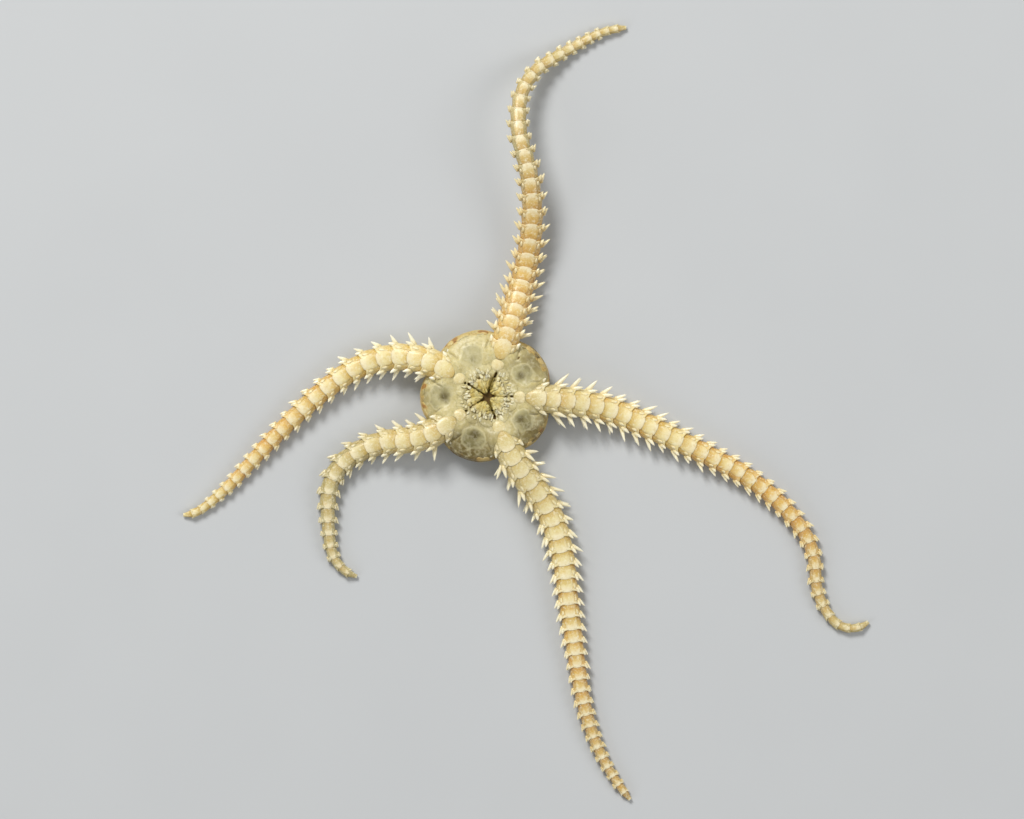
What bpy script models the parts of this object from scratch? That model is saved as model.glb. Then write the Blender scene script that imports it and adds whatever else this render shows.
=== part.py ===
"""A small brittle star, life size, lying on its back with its mouth side up.

Five jointed arms grow from a round disc.  Each arm is a row of ringed segments, widest at the
outer edge, where rows of short glassy spines stand on both sides.  Five jaws sit round the mouth.

Metres, +Z up.  The origin is the middle of the disc, on the floor that the animal lies on.
Bearings are in degrees, counterclockwise from +X, seen from above.
"""

import math
import random

import bmesh
import bpy
from mathutils import Matrix, Vector

MM = 0.001

# Disc.  The outline runs from the middle of the mouth, over the top and the rim, to the middle of
# the underside: share of the radius, level above the floor.
DISC_RADIUS = 4.0 * MM
DISC_TOP = 1.95 * MM
MOUTH_RADIUS = 1.5 * MM
MOUTH_FLOOR = 0.95 * MM
DISC_REST_RADIUS = 1.5 * MM
DISC_OUTLINE = (
    (0.0, MOUTH_FLOOR),
    (MOUTH_RADIUS / DISC_RADIUS, MOUTH_FLOOR),
    (MOUTH_RADIUS / DISC_RADIUS, DISC_TOP),
    (0.62, DISC_TOP - 0.03 * MM),
    (0.82, DISC_TOP - 0.2 * MM),
    (0.95, DISC_TOP - 0.5 * MM),
    (1.0, 1.1 * MM),
    (0.96, 0.74 * MM),
    (0.85, 0.4 * MM),
    (0.64, 0.13 * MM),
    (DISC_REST_RADIUS / DISC_RADIUS, 0.0),
    (0.0, 0.0),
)
DISC_STEPS = 36
NOTCH_DEPTH = 0.07
NOTCH_SPREAD = 30.0

# Jaws.  The stations run from the outer end to the point: share of the way, share of the width.
JAW_SLIT = 0.24 * MM
JAW_POINT = 0.24 * MM
JAW_WIDEST = 1.46 * MM
JAW_STATIONS = ((0.0, 1.0), (0.4, 1.0), (0.75, 1.0), (1.0, 0.6))
JAW_HEIGHT = 1.1 * MM
JAW_DROP = 0.24 * MM
JAW_BEVEL = 0.16 * MM

# Plates on the disc: each is a flattened ball, half sunk.
ORAL_SHIELD_SIZE = (0.84 * MM, 0.84 * MM, 0.28 * MM)
ORAL_SHIELD_PLACE = 2.64 * MM
ORAL_SHIELD_LEVEL = DISC_TOP - 0.14 * MM
RADIAL_SHIELD_SIZE = (0.62 * MM, 0.36 * MM, 0.2 * MM)
RADIAL_SHIELD_PLACE = 3.0 * MM
RADIAL_SHIELD_LEVEL = 0.36 * MM
RADIAL_SHIELD_SPREAD = 12.0

# Arms.  A pair holds the size at the disc's edge and the size at the tip.
ARM_WIDTH = (1.85 * MM, 0.5 * MM)
ARM_TAPER = 1.15
ARM_HEIGHT_SHARE = 0.84
SEGMENT_LENGTH = (0.9 * MM, 0.58 * MM)
SEGMENT_NECK = 0.84
SEGMENT_STEP = 0.1 * MM
PLATE_REACH = 0.11 * MM
TIP_SHARES = (0.8, 0.4)
ARM_START = 1.64 * MM
ARM_LEAVES_DISC = 4.3 * MM
ROOT_RISE = 0.72 * MM
ROOT_DROOP = 4.2 * MM
JOINT_GAP = 0.28 * MM

# One side of an arm's cross-section, from the middle of the mouth-side plate down to the floor:
# share of the half width, share of the height.  The inner lengths carry three rows of spines on
# each side and the others two.
SECTIONS = {
    3: ((0.0, 1.0), (0.5, 0.94), (0.88, 0.7), (1.0, 0.38), (0.62, 0.0)),
    2: ((0.0, 1.0), (0.68, 0.86), (1.0, 0.46), (0.64, 0.0)),
}

# Spines.  One row stands in the middle of each face of the section beyond the first, and rises
# by an angle of its own.
SPINE_RISES = {3: (46.0, 16.0, -8.0), 2: (34.0, 0.0)}
SPINE_LENGTH = (0.98 * MM, 0.32 * MM)
SPINE_ROOT = (0.46 * MM, 0.24 * MM)
SPINE_LEAN = (64.0, 32.0)
SPINE_SIDES = 4
SPINE_SUNK = 0.55
SPINE_SETBACK = 0.6
SPINE_WAVER = 7.0
SPINE_LENGTH_SPREAD = 0.14
SPINE_LEAST_LEVEL = 0.04 * MM

# Each arm's centre line leaves the middle of the disc and turns steadily between the bearings
# in its course, which are COURSE_STEP apart.  Its lengths end at the stated distances from the
# middle.  An arch lifts the arm off the floor between two distances.
COURSE_STEP = 3.0 * MM
ARMS = {
    "arm_1": {
        "course": (71, 72, 74, 80, 93, 107, 81, 32, 28, -4),
        "ends": {"inner": 11.0 * MM, "middle": 16.0 * MM, "outer": 20.5 * MM, "tip": 26.3 * MM},
        "arch": (6.5 * MM, 23.5 * MM, 2.2 * MM),
    },
    "arm_2": {
        "course": (148, 148, 183, 212, 223, 226, 228, 217, 135),
        "ends": {"inner": 8.6 * MM, "middle": 13.5 * MM, "outer": 18.2 * MM, "tip": 22.3 * MM},
    },
    "arm_3": {
        "course": (216, 215, 182, 213, 267, 279, 358),
        "ends": {"inner": 8.0 * MM, "middle": 11.2 * MM, "outer": 14.4 * MM, "tip": 17.5 * MM},
    },
    "arm_4": {
        "course": (-70, -66, -51, -72, -84, -82, -82, -73, -59, -47),
        "ends": {"inner": 10.2 * MM, "middle": 15.8 * MM, "outer": 21.2 * MM, "tip": 26.1 * MM},
    },
    "arm_5": {
        "course": (-2, -3, -11, -25, -26, -27, -39, -54, -90, -49, 65),
        "ends": {
            "inner": 10.8 * MM, "middle": 16.8 * MM, "outer": 22.2 * MM,
            "bend": 25.6 * MM, "tip": 29.4 * MM,
        },
    },
}

SHARP_ANGLE = 35.0

# Colours are linear RGB
CREAM = (0.79, 0.66, 0.38, 1.0)
GREY_CREAM = (0.6, 0.56, 0.38, 1.0)
PALE_GOLD = (0.78, 0.6, 0.27, 1.0)


def material(name, colour, roughness):
    made = bpy.data.materials.new(name)
    made.use_nodes = True
    shader = made.node_tree.nodes["Principled BSDF"]
    shader.inputs["Base Color"].default_value = colour
    shader.inputs["Roughness"].default_value = roughness
    shader.inputs["Metallic"].default_value = 0.0
    return made


def blend(ends, share):
    """The value at this share of the way from the first of two values to the second."""
    return ends[0] + (ends[1] - ends[0]) * share


def smooth_step(share):
    share = min(max(share, 0.0), 1.0)
    return share * share * (3 - 2 * share)


def direction(bearing):
    return Vector((math.cos(math.radians(bearing)), math.sin(math.radians(bearing)), 0.0))


class Arm:
    """The course and the sizes of one arm, by distance along it from the middle of the disc."""

    WALK = 0.05 * MM

    def __init__(self, name, course, ends, arch=(0.0, MM, 0.0)):
        self.name = name
        self.course = course
        self.ends = ends
        self.arch = arch
        self.length = max(ends.values())
        self.points = [Vector((0.0, 0.0, 0.0))]
        for step in range(int(self.length / self.WALK) + 2):
            heading = self.bearing((step + 0.5) * self.WALK)
            self.points.append(self.points[-1] + direction(heading) * self.WALK)

    def bearing(self, along):
        place = min(max(along / COURSE_STEP, 0.0), len(self.course) - 1.001)
        return blend(self.course[int(place) : int(place) + 2], place - int(place))

    def centre(self, along):
        place = along / self.WALK
        return self.points[int(place)].lerp(self.points[int(place) + 1], place - int(place))

    def share(self, along):
        """0 at the disc's edge and 1 at the tip."""
        return min(max((along - DISC_RADIUS) / (self.length - DISC_RADIUS), 0.0), 1.0)

    def width(self, along):
        return blend(ARM_WIDTH, self.share(along) ** ARM_TAPER)

    def height(self, along):
        return self.width(along) * ARM_HEIGHT_SHARE

    def underside(self, along):
        """How far the arm's lower side is off the floor."""
        root = ROOT_RISE * (1 - smooth_step((along - DISC_RADIUS) / ROOT_DROOP))
        begins, ends, rise = self.arch
        lifted = min(max((along - begins) / (ends - begins), 0.0), 1.0)
        return root + rise * math.sin(math.pi * lifted) ** 2

    def joints(self):
        """Where the segments meet, from the mouth to the tip."""
        places = [ARM_START]
        while places[-1] < self.length:
            places.append(places[-1] + blend(SEGMENT_LENGTH, self.share(places[-1])))
        stretch = (self.length - ARM_START) / (places[-1] - ARM_START)
        return [ARM_START + (place - ARM_START) * stretch for place in places]

    def nearest_joint(self, along):
        return min(self.joints(), key=lambda joint: abs(joint - along))

    def surface(self, along, scale, side, height):
        """A point of the section at this distance, as shares of its half width and height."""
        across = direction(self.bearing(along) + 90) * (side * scale * self.width(along) / 2)
        level = self.underside(along) + height * scale * self.height(along)
        return self.centre(along) + across + Vector((0.0, 0.0, level))

    def ring(self, rows, along, scale, reach):
        """The section's points, right round; those near the mouth-side plate reach outwards."""
        section = SECTIONS[rows]
        corners = [*section, *((-side, height) for side, height in reversed(section) if side > 0)]
        points = []
        for side, height in corners:
            shift = reach * height * (1 - side * side)
            points.append(self.surface(along + shift, scale, side, height))
        return points


def object_from(name, fill, finish=None):
    """A mesh object whose shape a function draws."""
    shape = bmesh.new()
    fill(shape)
    mesh = bpy.data.meshes.new(name)
    shape.to_mesh(mesh)
    shape.free()
    if finish:
        mesh.materials.append(finish)
    return bpy.data.objects.new(name, mesh)


def loft(shape, rings):
    """Closed skin through rings that have the same number of points."""
    rows = [[shape.verts.new(point) for point in ring] for ring in rings]
    for lower, upper in zip(rows, rows[1:]):
        for i in range(len(lower)):
            shape.faces.new((lower[i - 1], lower[i], upper[i], upper[i - 1]))
    caps = [shape.faces.new(rows[0]), shape.faces.new(rows[-1])]
    bmesh.ops.triangulate(shape, faces=caps)
    bmesh.ops.recalc_face_normals(shape, faces=shape.faces)


def segment_rings(arm, rows, joints, ends_in_tip=False):
    """Rings of the segments between these joints, each narrow at its inner end."""
    rings = []
    last = len(joints) - 2
    for number, (start, end) in enumerate(zip(joints, joints[1:])):
        first_reach = PLATE_REACH if number else 0.0
        last_reach = PLATE_REACH if number < last else 0.0
        outer = end - SEGMENT_STEP if number < last else end
        rings.append(arm.ring(rows, start, SEGMENT_NECK, first_reach))
        rings.append(arm.ring(rows, outer, 1.0, last_reach))
    if ends_in_tip:
        rings[-1] = arm.ring(rows, joints[-1] - SEGMENT_STEP, TIP_SHARES[0], 0.0)
        rings.append(arm.ring(rows, joints[-1], TIP_SHARES[1], 0.0))
    return rings


def spine(arm, along, side, foot_share, rise, chance):
    """A tapered spine that leans outwards, with its root sunk in the arm's side."""
    share = arm.share(along)
    lean = math.radians(blend(SPINE_LEAN, share) + chance.uniform(-SPINE_WAVER, SPINE_WAVER))
    rise = math.radians(rise + chance.uniform(-SPINE_WAVER, SPINE_WAVER))
    across = direction(arm.bearing(along) + 90) * side
    points = direction(arm.bearing(along)) * math.cos(lean)
    points += across * (math.sin(lean) * math.cos(rise))
    points.z = math.sin(lean) * math.sin(rise)
    thick = blend(SPINE_ROOT, share)
    spread = chance.uniform(1 - SPINE_LENGTH_SPREAD, 1 + SPINE_LENGTH_SPREAD)
    depth = blend(SPINE_LENGTH, share) * spread + SPINE_SUNK * thick
    foot = arm.surface(along, 1.0, side * foot_share.x, foot_share.y)
    foot -= points * SPINE_SUNK * thick
    foot.z = max(foot.z, SPINE_LEAST_LEVEL + thick / 2)
    points.z = max(points.z, (SPINE_LEAST_LEVEL - foot.z) / depth)
    points.normalize()
    turn = points.to_track_quat("Z", "Y").to_matrix().to_4x4()
    place = Matrix.Translation(foot + points * depth / 2) @ turn

    def fill(shape):
        bmesh.ops.create_cone(
            shape, cap_ends=True, segments=SPINE_SIDES,
            radius1=thick / 2, radius2=0.0, depth=depth, matrix=place,
        )

    return object_from("spine", fill)


def spines_on(arm, rows, joints, chance):
    """Rows of spines on both sides, near the outer edge of each segment."""
    made = []
    section = SECTIONS[rows][1:]
    feet = [Vector(pair[0]).lerp(Vector(pair[1]), 0.5) for pair in zip(section, section[1:])]
    for end in joints:
        along = end - SEGMENT_STEP - SPINE_SETBACK * blend(SPINE_ROOT, arm.share(end))
        for side in (-1, 1):
            for foot, rise in zip(feet, SPINE_RISES[rows]):
                made.append(spine(arm, along, side, foot, rise, chance))
    return made


def union(base, pieces):
    """Joins closed pieces to the base, removes them and drops loose scraps."""
    group = bpy.data.collections.new(base.name + " pieces")
    bpy.context.scene.collection.children.link(group)
    for piece in pieces:
        group.objects.link(piece)
    join = base.modifiers.new("join", "BOOLEAN")
    join.operation = "UNION"
    join.operand_type = "COLLECTION"
    join.collection = group
    join.solver = "EXACT"
    graph = bpy.context.evaluated_depsgraph_get()
    joined = bpy.data.meshes.new_from_object(base.evaluated_get(graph))
    base.modifiers.clear()
    base.data = joined
    for piece in pieces:
        bpy.data.objects.remove(piece)
    bpy.data.collections.remove(group)
    keep_largest(joined)


def keep_largest(mesh):
    """Keeps the closed surface that spans the most space."""
    shape = bmesh.new()
    shape.from_mesh(mesh)
    waiting = set(shape.verts)
    islands = []
    while waiting:
        island = [waiting.pop()]
        for vertex in island:
            for edge in vertex.link_edges:
                other = edge.other_vert(vertex)
                if other in waiting:
                    waiting.remove(other)
                    island.append(other)
        islands.append(island)

    def span(island):
        return sum(
            max(v.co[axis] for v in island) - min(v.co[axis] for v in island)
            for axis in range(3)
        )

    islands.sort(key=span)
    scraps = [vertex for island in islands[:-1] for vertex in island]
    bmesh.ops.delete(shape, geom=scraps, context="VERTS")
    shape.to_mesh(mesh)
    shape.free()


def round_plate(name, centre, size, turn, sides):
    """A flattened ball whose long axis lies on the bearing."""
    place = Matrix.Translation(centre) @ Matrix.Rotation(math.radians(turn), 4, "Z")

    def fill(shape):
        bmesh.ops.create_uvsphere(shape, u_segments=sides, v_segments=sides // 2, radius=1.0)
        shape.transform(place @ Matrix.Diagonal((*size, 1.0)))

    return object_from(name, fill)


def disc_outline(shape):
    corners = [shape.verts.new((DISC_RADIUS * out, 0.0, level)) for out, level in DISC_OUTLINE]
    for pair in zip(corners, corners[1:]):
        shape.edges.new(pair)


def notch_disc(mesh, root_bearings):
    """Draws the rim in where an arm leaves, which makes five rounded lobes."""
    for vertex in mesh.vertices:
        outwards = (vertex.co.xy.length - MOUTH_RADIUS) / (DISC_RADIUS - MOUTH_RADIUS)
        bearing = math.degrees(math.atan2(vertex.co.y, vertex.co.x))
        off = min(abs((bearing - root + 180) % 360 - 180) for root in root_bearings)
        depth = 1 - smooth_step(off / NOTCH_SPREAD)
        vertex.co.xy *= 1 - NOTCH_DEPTH * depth * max(outwards, 0.0)


def middle_bearings(root_bearings):
    """The bearings half way between neighbouring arms, with half the angle between them."""
    ordered = sorted(bearing % 360 for bearing in root_bearings)
    pairs = zip(ordered, ordered[1:] + [ordered[0] + 360])
    return [((first + second) / 2, (second - first) / 2) for first, second in pairs]


def turned_disc(finish):
    disc = object_from("disc", disc_outline, finish)
    bpy.context.scene.collection.objects.link(disc)
    turned = disc.modifiers.new("turn", "SCREW")
    turned.steps = DISC_STEPS
    turned.render_steps = DISC_STEPS
    turned.use_merge_vertices = True
    turned.merge_threshold = 0.001 * MM
    graph = bpy.context.evaluated_depsgraph_get()
    disc.data = bpy.data.meshes.new_from_object(disc.evaluated_get(graph))
    disc.modifiers.clear()
    return disc


def make_disc(arms, finish):
    """The disc with the arms' roots, the oral shields above and the radial shields below."""
    disc = turned_disc(finish)
    roots = [arm.bearing(0.0) for arm in arms]
    notch_disc(disc.data, roots)
    pieces = []
    for arm in arms:
        edge = arm.nearest_joint(ARM_LEAVES_DISC)
        joints = [joint for joint in arm.joints() if joint <= edge]
        rings = segment_rings(arm, 3, joints)
        pieces.append(object_from("arm root", lambda shape: loft(shape, rings)))
        pieces += spines_on(arm, 3, joints[-1:], random.Random(arm.name))
        for side in (-1, 1):
            bearing = arm.bearing(0.0) + side * RADIAL_SHIELD_SPREAD
            centre = direction(bearing) * RADIAL_SHIELD_PLACE
            centre.z = RADIAL_SHIELD_LEVEL
            pieces.append(round_plate("radial shield", centre, RADIAL_SHIELD_SIZE, bearing, 8))
    for bearing, _ in middle_bearings(roots):
        centre = direction(bearing) * ORAL_SHIELD_PLACE
        centre.z = ORAL_SHIELD_LEVEL
        pieces.append(round_plate("oral shield", centre, ORAL_SHIELD_SIZE, bearing, 12))
    union(disc, pieces)
    return disc


def make_jaw(name, bearing, half_angle, finish):
    """A wedge that narrows to the middle of the mouth and leaves a slit to each neighbour."""
    outer = MOUTH_RADIUS - JOINT_GAP
    low = MOUTH_FLOOR + JOINT_GAP
    across = direction(bearing + 90)
    rings = []
    for inwards, narrowed in JAW_STATIONS:
        out = blend((outer, JAW_POINT), inwards)
        half = out * math.tan(math.radians(half_angle)) - JAW_SLIT / 2
        half = min(half, JAW_WIDEST / 2) * narrowed
        top = low + JAW_HEIGHT - JAW_DROP * inwards
        shoulder = top - JAW_BEVEL
        section = ((-1, low), (1, low), (1, shoulder), (0.5, top), (-0.5, top), (-1, shoulder))
        middle = direction(bearing) * out
        rings.append([middle + across * half * side + Vector((0, 0, z)) for side, z in section])
    return object_from(name, lambda shape: loft(shape, rings), finish)


def make_arm(arm, finish):
    """The arm's lengths past the disc, each a node of whole segments."""
    chance = random.Random(arm.name + " spines")
    begin = arm.nearest_joint(ARM_LEAVES_DISC)
    made = []
    for part, stop in arm.ends.items():
        end = arm.nearest_joint(stop)
        joints = [joint for joint in arm.joints() if begin <= joint <= end]
        joints[0] += JOINT_GAP
        rows = 3 if part == "inner" else 2
        last = part == "tip"
        rings = segment_rings(arm, rows, joints, ends_in_tip=last)
        body = object_from(f"{arm.name}_{part}", lambda shape: loft(shape, rings), finish)
        bpy.context.scene.collection.objects.link(body)
        union(body, spines_on(arm, rows, joints[1:-1] if last else joints[1:], chance))
        made.append(body)
        begin = end
    return made


def main():
    for old in list(bpy.data.objects):
        bpy.data.objects.remove(old)
    skin = material("disc skin", GREY_CREAM, 0.45)
    plates = material("arm plates", CREAM, 0.45)
    jaw_finish = material("jaws", PALE_GOLD, 0.4)

    arms = [Arm(name, **sizes) for name, sizes in ARMS.items()]
    made = [make_disc(arms, skin)]
    roots = [arm.bearing(0.0) for arm in arms]
    for number, (bearing, half_angle) in enumerate(middle_bearings(roots), 1):
        made.append(make_jaw(f"jaw_{number}", bearing, half_angle, jaw_finish))
        bpy.context.scene.collection.objects.link(made[-1])
    for arm in arms:
        made += make_arm(arm, plates)

    star = bpy.data.collections.new("brittle star")
    bpy.context.scene.collection.children.link(star)
    for node in made:
        bpy.context.scene.collection.objects.unlink(node)
        star.objects.link(node)
        node.data.shade_smooth()
        node.data.set_sharp_from_angle(angle=math.radians(SHARP_ANGLE))


main()
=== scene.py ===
"""A small brittle star, life size, lying on its back: plates, spines, disc, mouth and finishes."""

import math
import random

import bpy
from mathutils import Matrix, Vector, noise
from mathutils.bvhtree import BVHTree


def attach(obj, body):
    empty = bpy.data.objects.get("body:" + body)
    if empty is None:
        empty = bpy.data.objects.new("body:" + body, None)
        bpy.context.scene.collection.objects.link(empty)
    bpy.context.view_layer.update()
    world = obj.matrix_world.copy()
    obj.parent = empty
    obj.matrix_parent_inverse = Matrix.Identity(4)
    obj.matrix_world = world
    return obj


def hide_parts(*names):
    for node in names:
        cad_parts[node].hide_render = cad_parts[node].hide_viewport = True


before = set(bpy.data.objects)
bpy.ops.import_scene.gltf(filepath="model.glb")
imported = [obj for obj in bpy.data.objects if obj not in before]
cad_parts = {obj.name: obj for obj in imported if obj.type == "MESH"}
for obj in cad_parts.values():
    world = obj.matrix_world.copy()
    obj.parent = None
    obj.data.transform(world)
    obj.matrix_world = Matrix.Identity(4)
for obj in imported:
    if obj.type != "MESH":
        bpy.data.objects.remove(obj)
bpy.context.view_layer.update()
bpy.ops.object.select_all(action="DESELECT")


# Side plates of the arms. Each segment of an arm is wrapped by two curved plates of chalky calcite
# that widen outwards like a cup, so that the next segment's narrow neck sits inside the lip. Skin
# and small muscles hold the segments in a row, from the mouth to the tip.
MM = 0.001

# Each centre line leaves the middle of the disc and turns steadily between the bearings of its
# course. Along the same steps, warmth says how tan the plates are, grey how dull, and pace how long
# the segments are. Arch is where the arm leaves and meets the floor, and how high it rises there.
# Spines is the size of the arm's spines, and bare how much of the tip has none. Neck is the width
# of the segments' inner ends, and contrast how brown the recesses and how white the edges are. The
# brown is partly painted shade under the lips, and the white partly painted light on the lips.
STEP = 3.0 * MM
ARMS = {
    "arm_1": {
        "course": (71, 72, 74, 80, 93, 107, 81, 32, 28, -4),
        "length": 26.3 * MM,
        "arch": (6.5 * MM, 23.5 * MM, 2.2 * MM),
        "warmth": (0.1, 0.25, 0.9, 0.95, 0.85, 0.7, 0.55, 0.4, 0.35, 0.3),
        "grey": (1.4, 0.15, 0.45, 0.5, 0.7, 1.3, 1.1, 0.8, 0.8, 0.8),
        "pace": (0.9, 0.9, 0.82, 1.0, 1.1, 1.1, 1.1, 1.1, 1.0, 1.0),
        "spines": 0.85,
        "bare": 1.2 * MM,
        "neck": 0.76,
        "contrast": 0.15,
    },
    "arm_2": {
        "course": (148, 148, 183, 212, 223, 226, 228, 217, 135),
        "length": 22.3 * MM,
        "warmth": (0.0, 0.0, 0.1, 0.25, 0.4, 0.6, 0.55, 0.2, 0.1),
        "grey": (1.3, 0.05, 0.0, 0.0, 0.05, 0.05, 0.1, 0.3, 0.5),
        "pace": (1.0, 1.0, 1.05, 1.1, 1.12, 1.1, 1.1, 1.0, 1.0),
        "spines": 0.85,
        "bare": 1.2 * MM,
        "neck": 0.8,
        "contrast": 0.3,
    },
    "arm_3": {
        "course": (216, 215, 182, 213, 267, 279, 358),
        "length": 17.5 * MM,
        "warmth": (0.1, 0.15, 0.1, 0.1, 0.15, 0.3, 0.35),
        "grey": (1.5, 1.0, 0.45, 1.2, 1.6, 1.5, 1.3),
        "pace": (1.0, 1.0, 1.05, 1.15, 1.15, 1.1, 1.0),
        "spines": 0.9,
        "bare": 1.2 * MM,
        "neck": 0.8,
        "contrast": 0.3,
    },
    "arm_4": {
        "course": (-70, -66, -51, -72, -84, -82, -82, -73, -59, -47),
        "length": 26.1 * MM,
        "warmth": (0.1, 0.15, 0.2, 0.15, 0.2, 0.35, 0.7, 1.0, 1.1, 1.0),
        "grey": (1.5, 1.0, 0.55, 0.3, 0.15, 0.1, 0.35, 0.85, 0.9, 0.8),
        "pace": (1.0, 1.0, 1.0, 0.97, 0.93, 0.95, 1.0, 1.05, 1.05, 1.0),
        "spines": 1.0,
        "bare": 1.0 * MM,
        "neck": 0.84,
        "contrast": 0.65,
    },
    "arm_5": {
        "course": (-2, -3, -11, -25, -26, -27, -39, -54, -90, -49, 65),
        "length": 29.4 * MM,
        "warmth": (0.1, 0.15, 0.2, 0.25, 0.35, 0.5, 0.75, 0.95, 0.9, 0.5, 0.3),
        "grey": (1.9, 1.0, 0.1, 0.0, 0.0, 0.0, 0.1, 0.35, 0.8, 1.0, 1.0),
        "pace": (1.0, 1.0, 0.98, 0.98, 1.0, 1.0, 1.05, 1.15, 1.2, 1.2, 1.1),
        "spines": 1.05,
        "bare": 3.0 * MM,
        "neck": 0.82,
        "contrast": 0.15,
    },
}
LENGTHS = {"arm_5": ("inner", "middle", "outer", "bend", "tip")}
USUAL_LENGTHS = ("inner", "middle", "outer", "tip")

# A pair holds the size at the disc's edge and the size at the tip
DISC_RADIUS = 4.0 * MM
ARM_WIDTH = (1.85 * MM, 0.5 * MM)
ARM_TAPER = 1.15
ARM_HEIGHT_SHARE = 0.84
ARM_START = 1.55 * MM
ROOT_RISE = 0.72 * MM
ROOT_DROOP = 4.2 * MM
MOUTH_SINK = 0.2 * MM
SEGMENT_LENGTH = (0.9 * MM, 0.54 * MM)
SEGMENT_SHORTENING = 1.9
FIRST_LENGTHS = (0.82 * MM, 1.1 * MM)
SLENDER_PACE = 2.5

# By the mouth the arm is this share of its full width, which it reaches beside the shields
MOUTH_SHARE = 0.55
FULL_FROM = 3.1 * MM

# The cross-section is a rounded box, widest below its middle
SECTION_WAIST = 0.42
SECTION_ROUNDNESS = 0.8


def blend(ends, share):
    """The value at this share of the way from the first of two values to the second."""
    return ends[0] + (ends[1] - ends[0]) * share


def smooth_step(share):
    share = min(max(share, 0.0), 1.0)
    return share * share * (3 - 2 * share)


def ramp(value, begins, span):
    """0 up to where it begins and 1 from a span farther on, eased between them."""
    return smooth_step((value - begins) / span)


def direction(bearing):
    return Vector((math.cos(math.radians(bearing)), math.sin(math.radians(bearing)), 0.0))


def grown(along):
    """0 for the small first segment by the mouth, 1 from where the arm is at its full width."""
    return ramp(along, ARM_START, FULL_FROM - ARM_START)


class Arm:
    """The course, sizes and tones of one arm, by distance along it from the middle of the disc."""

    WALK = 0.05 * MM
    WALK_BEYOND = 20
    arch = (0.0, MM, 0.0)

    def __init__(self, name, facts):
        self.name = name
        for fact, value in facts.items():
            setattr(self, fact, value)
        self.points = [Vector((0.0, 0.0, 0.0))]
        for step in range(int(self.length / self.WALK) + self.WALK_BEYOND):
            heading = direction(self.read(self.course, (step + 0.5) * self.WALK))
            self.points.append(self.points[-1] + heading * self.WALK)
        self.joints = self.find_joints()

    def read(self, values, along):
        """The value at this distance in a list that has one for each step of the course."""
        place = min(max(along / STEP, 0.0), len(values) - 1.001)
        return blend(values[int(place) : int(place) + 2], place - int(place))

    def tones(self, along):
        return self.read(self.warmth, along), self.read(self.grey, along)

    def ahead(self, along):
        return direction(self.read(self.course, along))

    def left(self, along):
        return direction(self.read(self.course, along) + 90)

    def centre(self, along):
        place = max(along / self.WALK, 0.0)
        return self.points[int(place)].lerp(self.points[int(place) + 1], place - int(place))

    def share(self, along):
        """0 at the disc's edge and 1 at the tip."""
        return min(max((along - DISC_RADIUS) / (self.length - DISC_RADIUS), 0.0), 1.0)

    def slender(self, along):
        """0 at the disc's edge and 1 from where the plates have the form of the outer arm."""
        return min(self.share(along) * SLENDER_PACE, 1.0)

    def offset(self, point):
        """How far a point on the disc lies beside the arm's line, and how far along it."""
        out = point.to_2d().length
        shift = point - self.centre(out)
        return abs(shift.dot(self.left(out))), shift.dot(self.ahead(out)) + out

    def height(self, along):
        return blend(ARM_WIDTH, self.share(along) ** ARM_TAPER) * ARM_HEIGHT_SHARE

    def width(self, along):
        return self.height(along) / ARM_HEIGHT_SHARE * blend((MOUTH_SHARE, 1.0), grown(along))

    def underside(self, along):
        """How far the arm's lower side is off the floor."""
        root = ROOT_RISE * (1 - ramp(along, DISC_RADIUS, ROOT_DROOP))
        begins, ends, rise = self.arch
        lifted = min(max((along - begins) / (ends - begins), 0.0), 1.0)
        return root - MOUTH_SINK * (1 - grown(along)) + rise * math.sin(math.pi * lifted) ** 2

    def find_joints(self):
        """Where the segments meet, from the mouth to the tip."""
        places = [ARM_START]
        for length in FIRST_LENGTHS:
            places.append(places[-1] + length)
        while places[-1] < self.length:
            outwards = self.share(places[-1]) ** SEGMENT_SHORTENING
            pace = self.read(self.pace, places[-1])
            places.append(places[-1] + blend(SEGMENT_LENGTH, outwards) * pace)
        stretch = (self.length - ARM_START) / (places[-1] - ARM_START)
        return [ARM_START + (place - ARM_START) * stretch for place in places]

    def surface(self, along, around, scale):
        """A point of the section: around is 0 on the mouth side and grows to the left."""
        turn = math.radians(around)
        side, up = math.sin(turn), math.cos(turn)
        side = math.copysign(abs(side) ** SECTION_ROUNDNESS, side)
        up = math.copysign(abs(up) ** SECTION_ROUNDNESS, up)
        if up < 0:
            level = SECTION_WAIST * (1 + up * min(scale, 1.0))
        else:
            level = SECTION_WAIST + (1 - SECTION_WAIST) * up * scale
        point = self.centre(along) + self.left(along) * (side * scale * self.width(along) / 2)
        point.z = self.underside(along) + level * self.height(along)
        return point


arms = [Arm(name, facts) for name, facts in ARMS.items()]


def turned(name, sides, stations):
    """A closed turned form: a ring drawn from pole to pole through stations of radius and level."""
    radius, level = stations[0]
    bpy.ops.object.select_all(action="DESELECT")
    bpy.ops.mesh.primitive_circle_add(vertices=sides, radius=radius, fill_type="TRIFAN")
    bpy.ops.object.mode_set(mode="EDIT")
    bpy.ops.transform.translate(value=(0, 0, level))
    bpy.ops.mesh.region_to_loop()
    for next_radius, next_level in stations[1:]:
        bpy.ops.mesh.extrude_edges_move(
            TRANSFORM_OT_translate={"value": (0, 0, next_level - level)}
        )
        grow = next_radius / radius
        bpy.ops.transform.resize(value=(grow, grow, 1), center_override=(0, 0, 0))
        radius, level = next_radius, next_level
    bpy.ops.mesh.extrude_edges_move()
    bpy.ops.mesh.merge(type="CENTER")
    bpy.ops.mesh.select_all(action="SELECT")
    bpy.ops.mesh.normals_make_consistent(inside=False)
    bpy.ops.object.mode_set(mode="OBJECT")
    piece = bpy.context.object
    piece.name = name
    bpy.ops.object.shade_smooth()
    return piece


def refined(piece, levels):
    """Rounds a piece by dividing its faces."""
    rounding = piece.modifiers.new("rounding", "SUBSURF")
    rounding.levels = levels
    rounding.render_levels = levels
    bpy.ops.object.modifier_apply(modifier="rounding")


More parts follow.
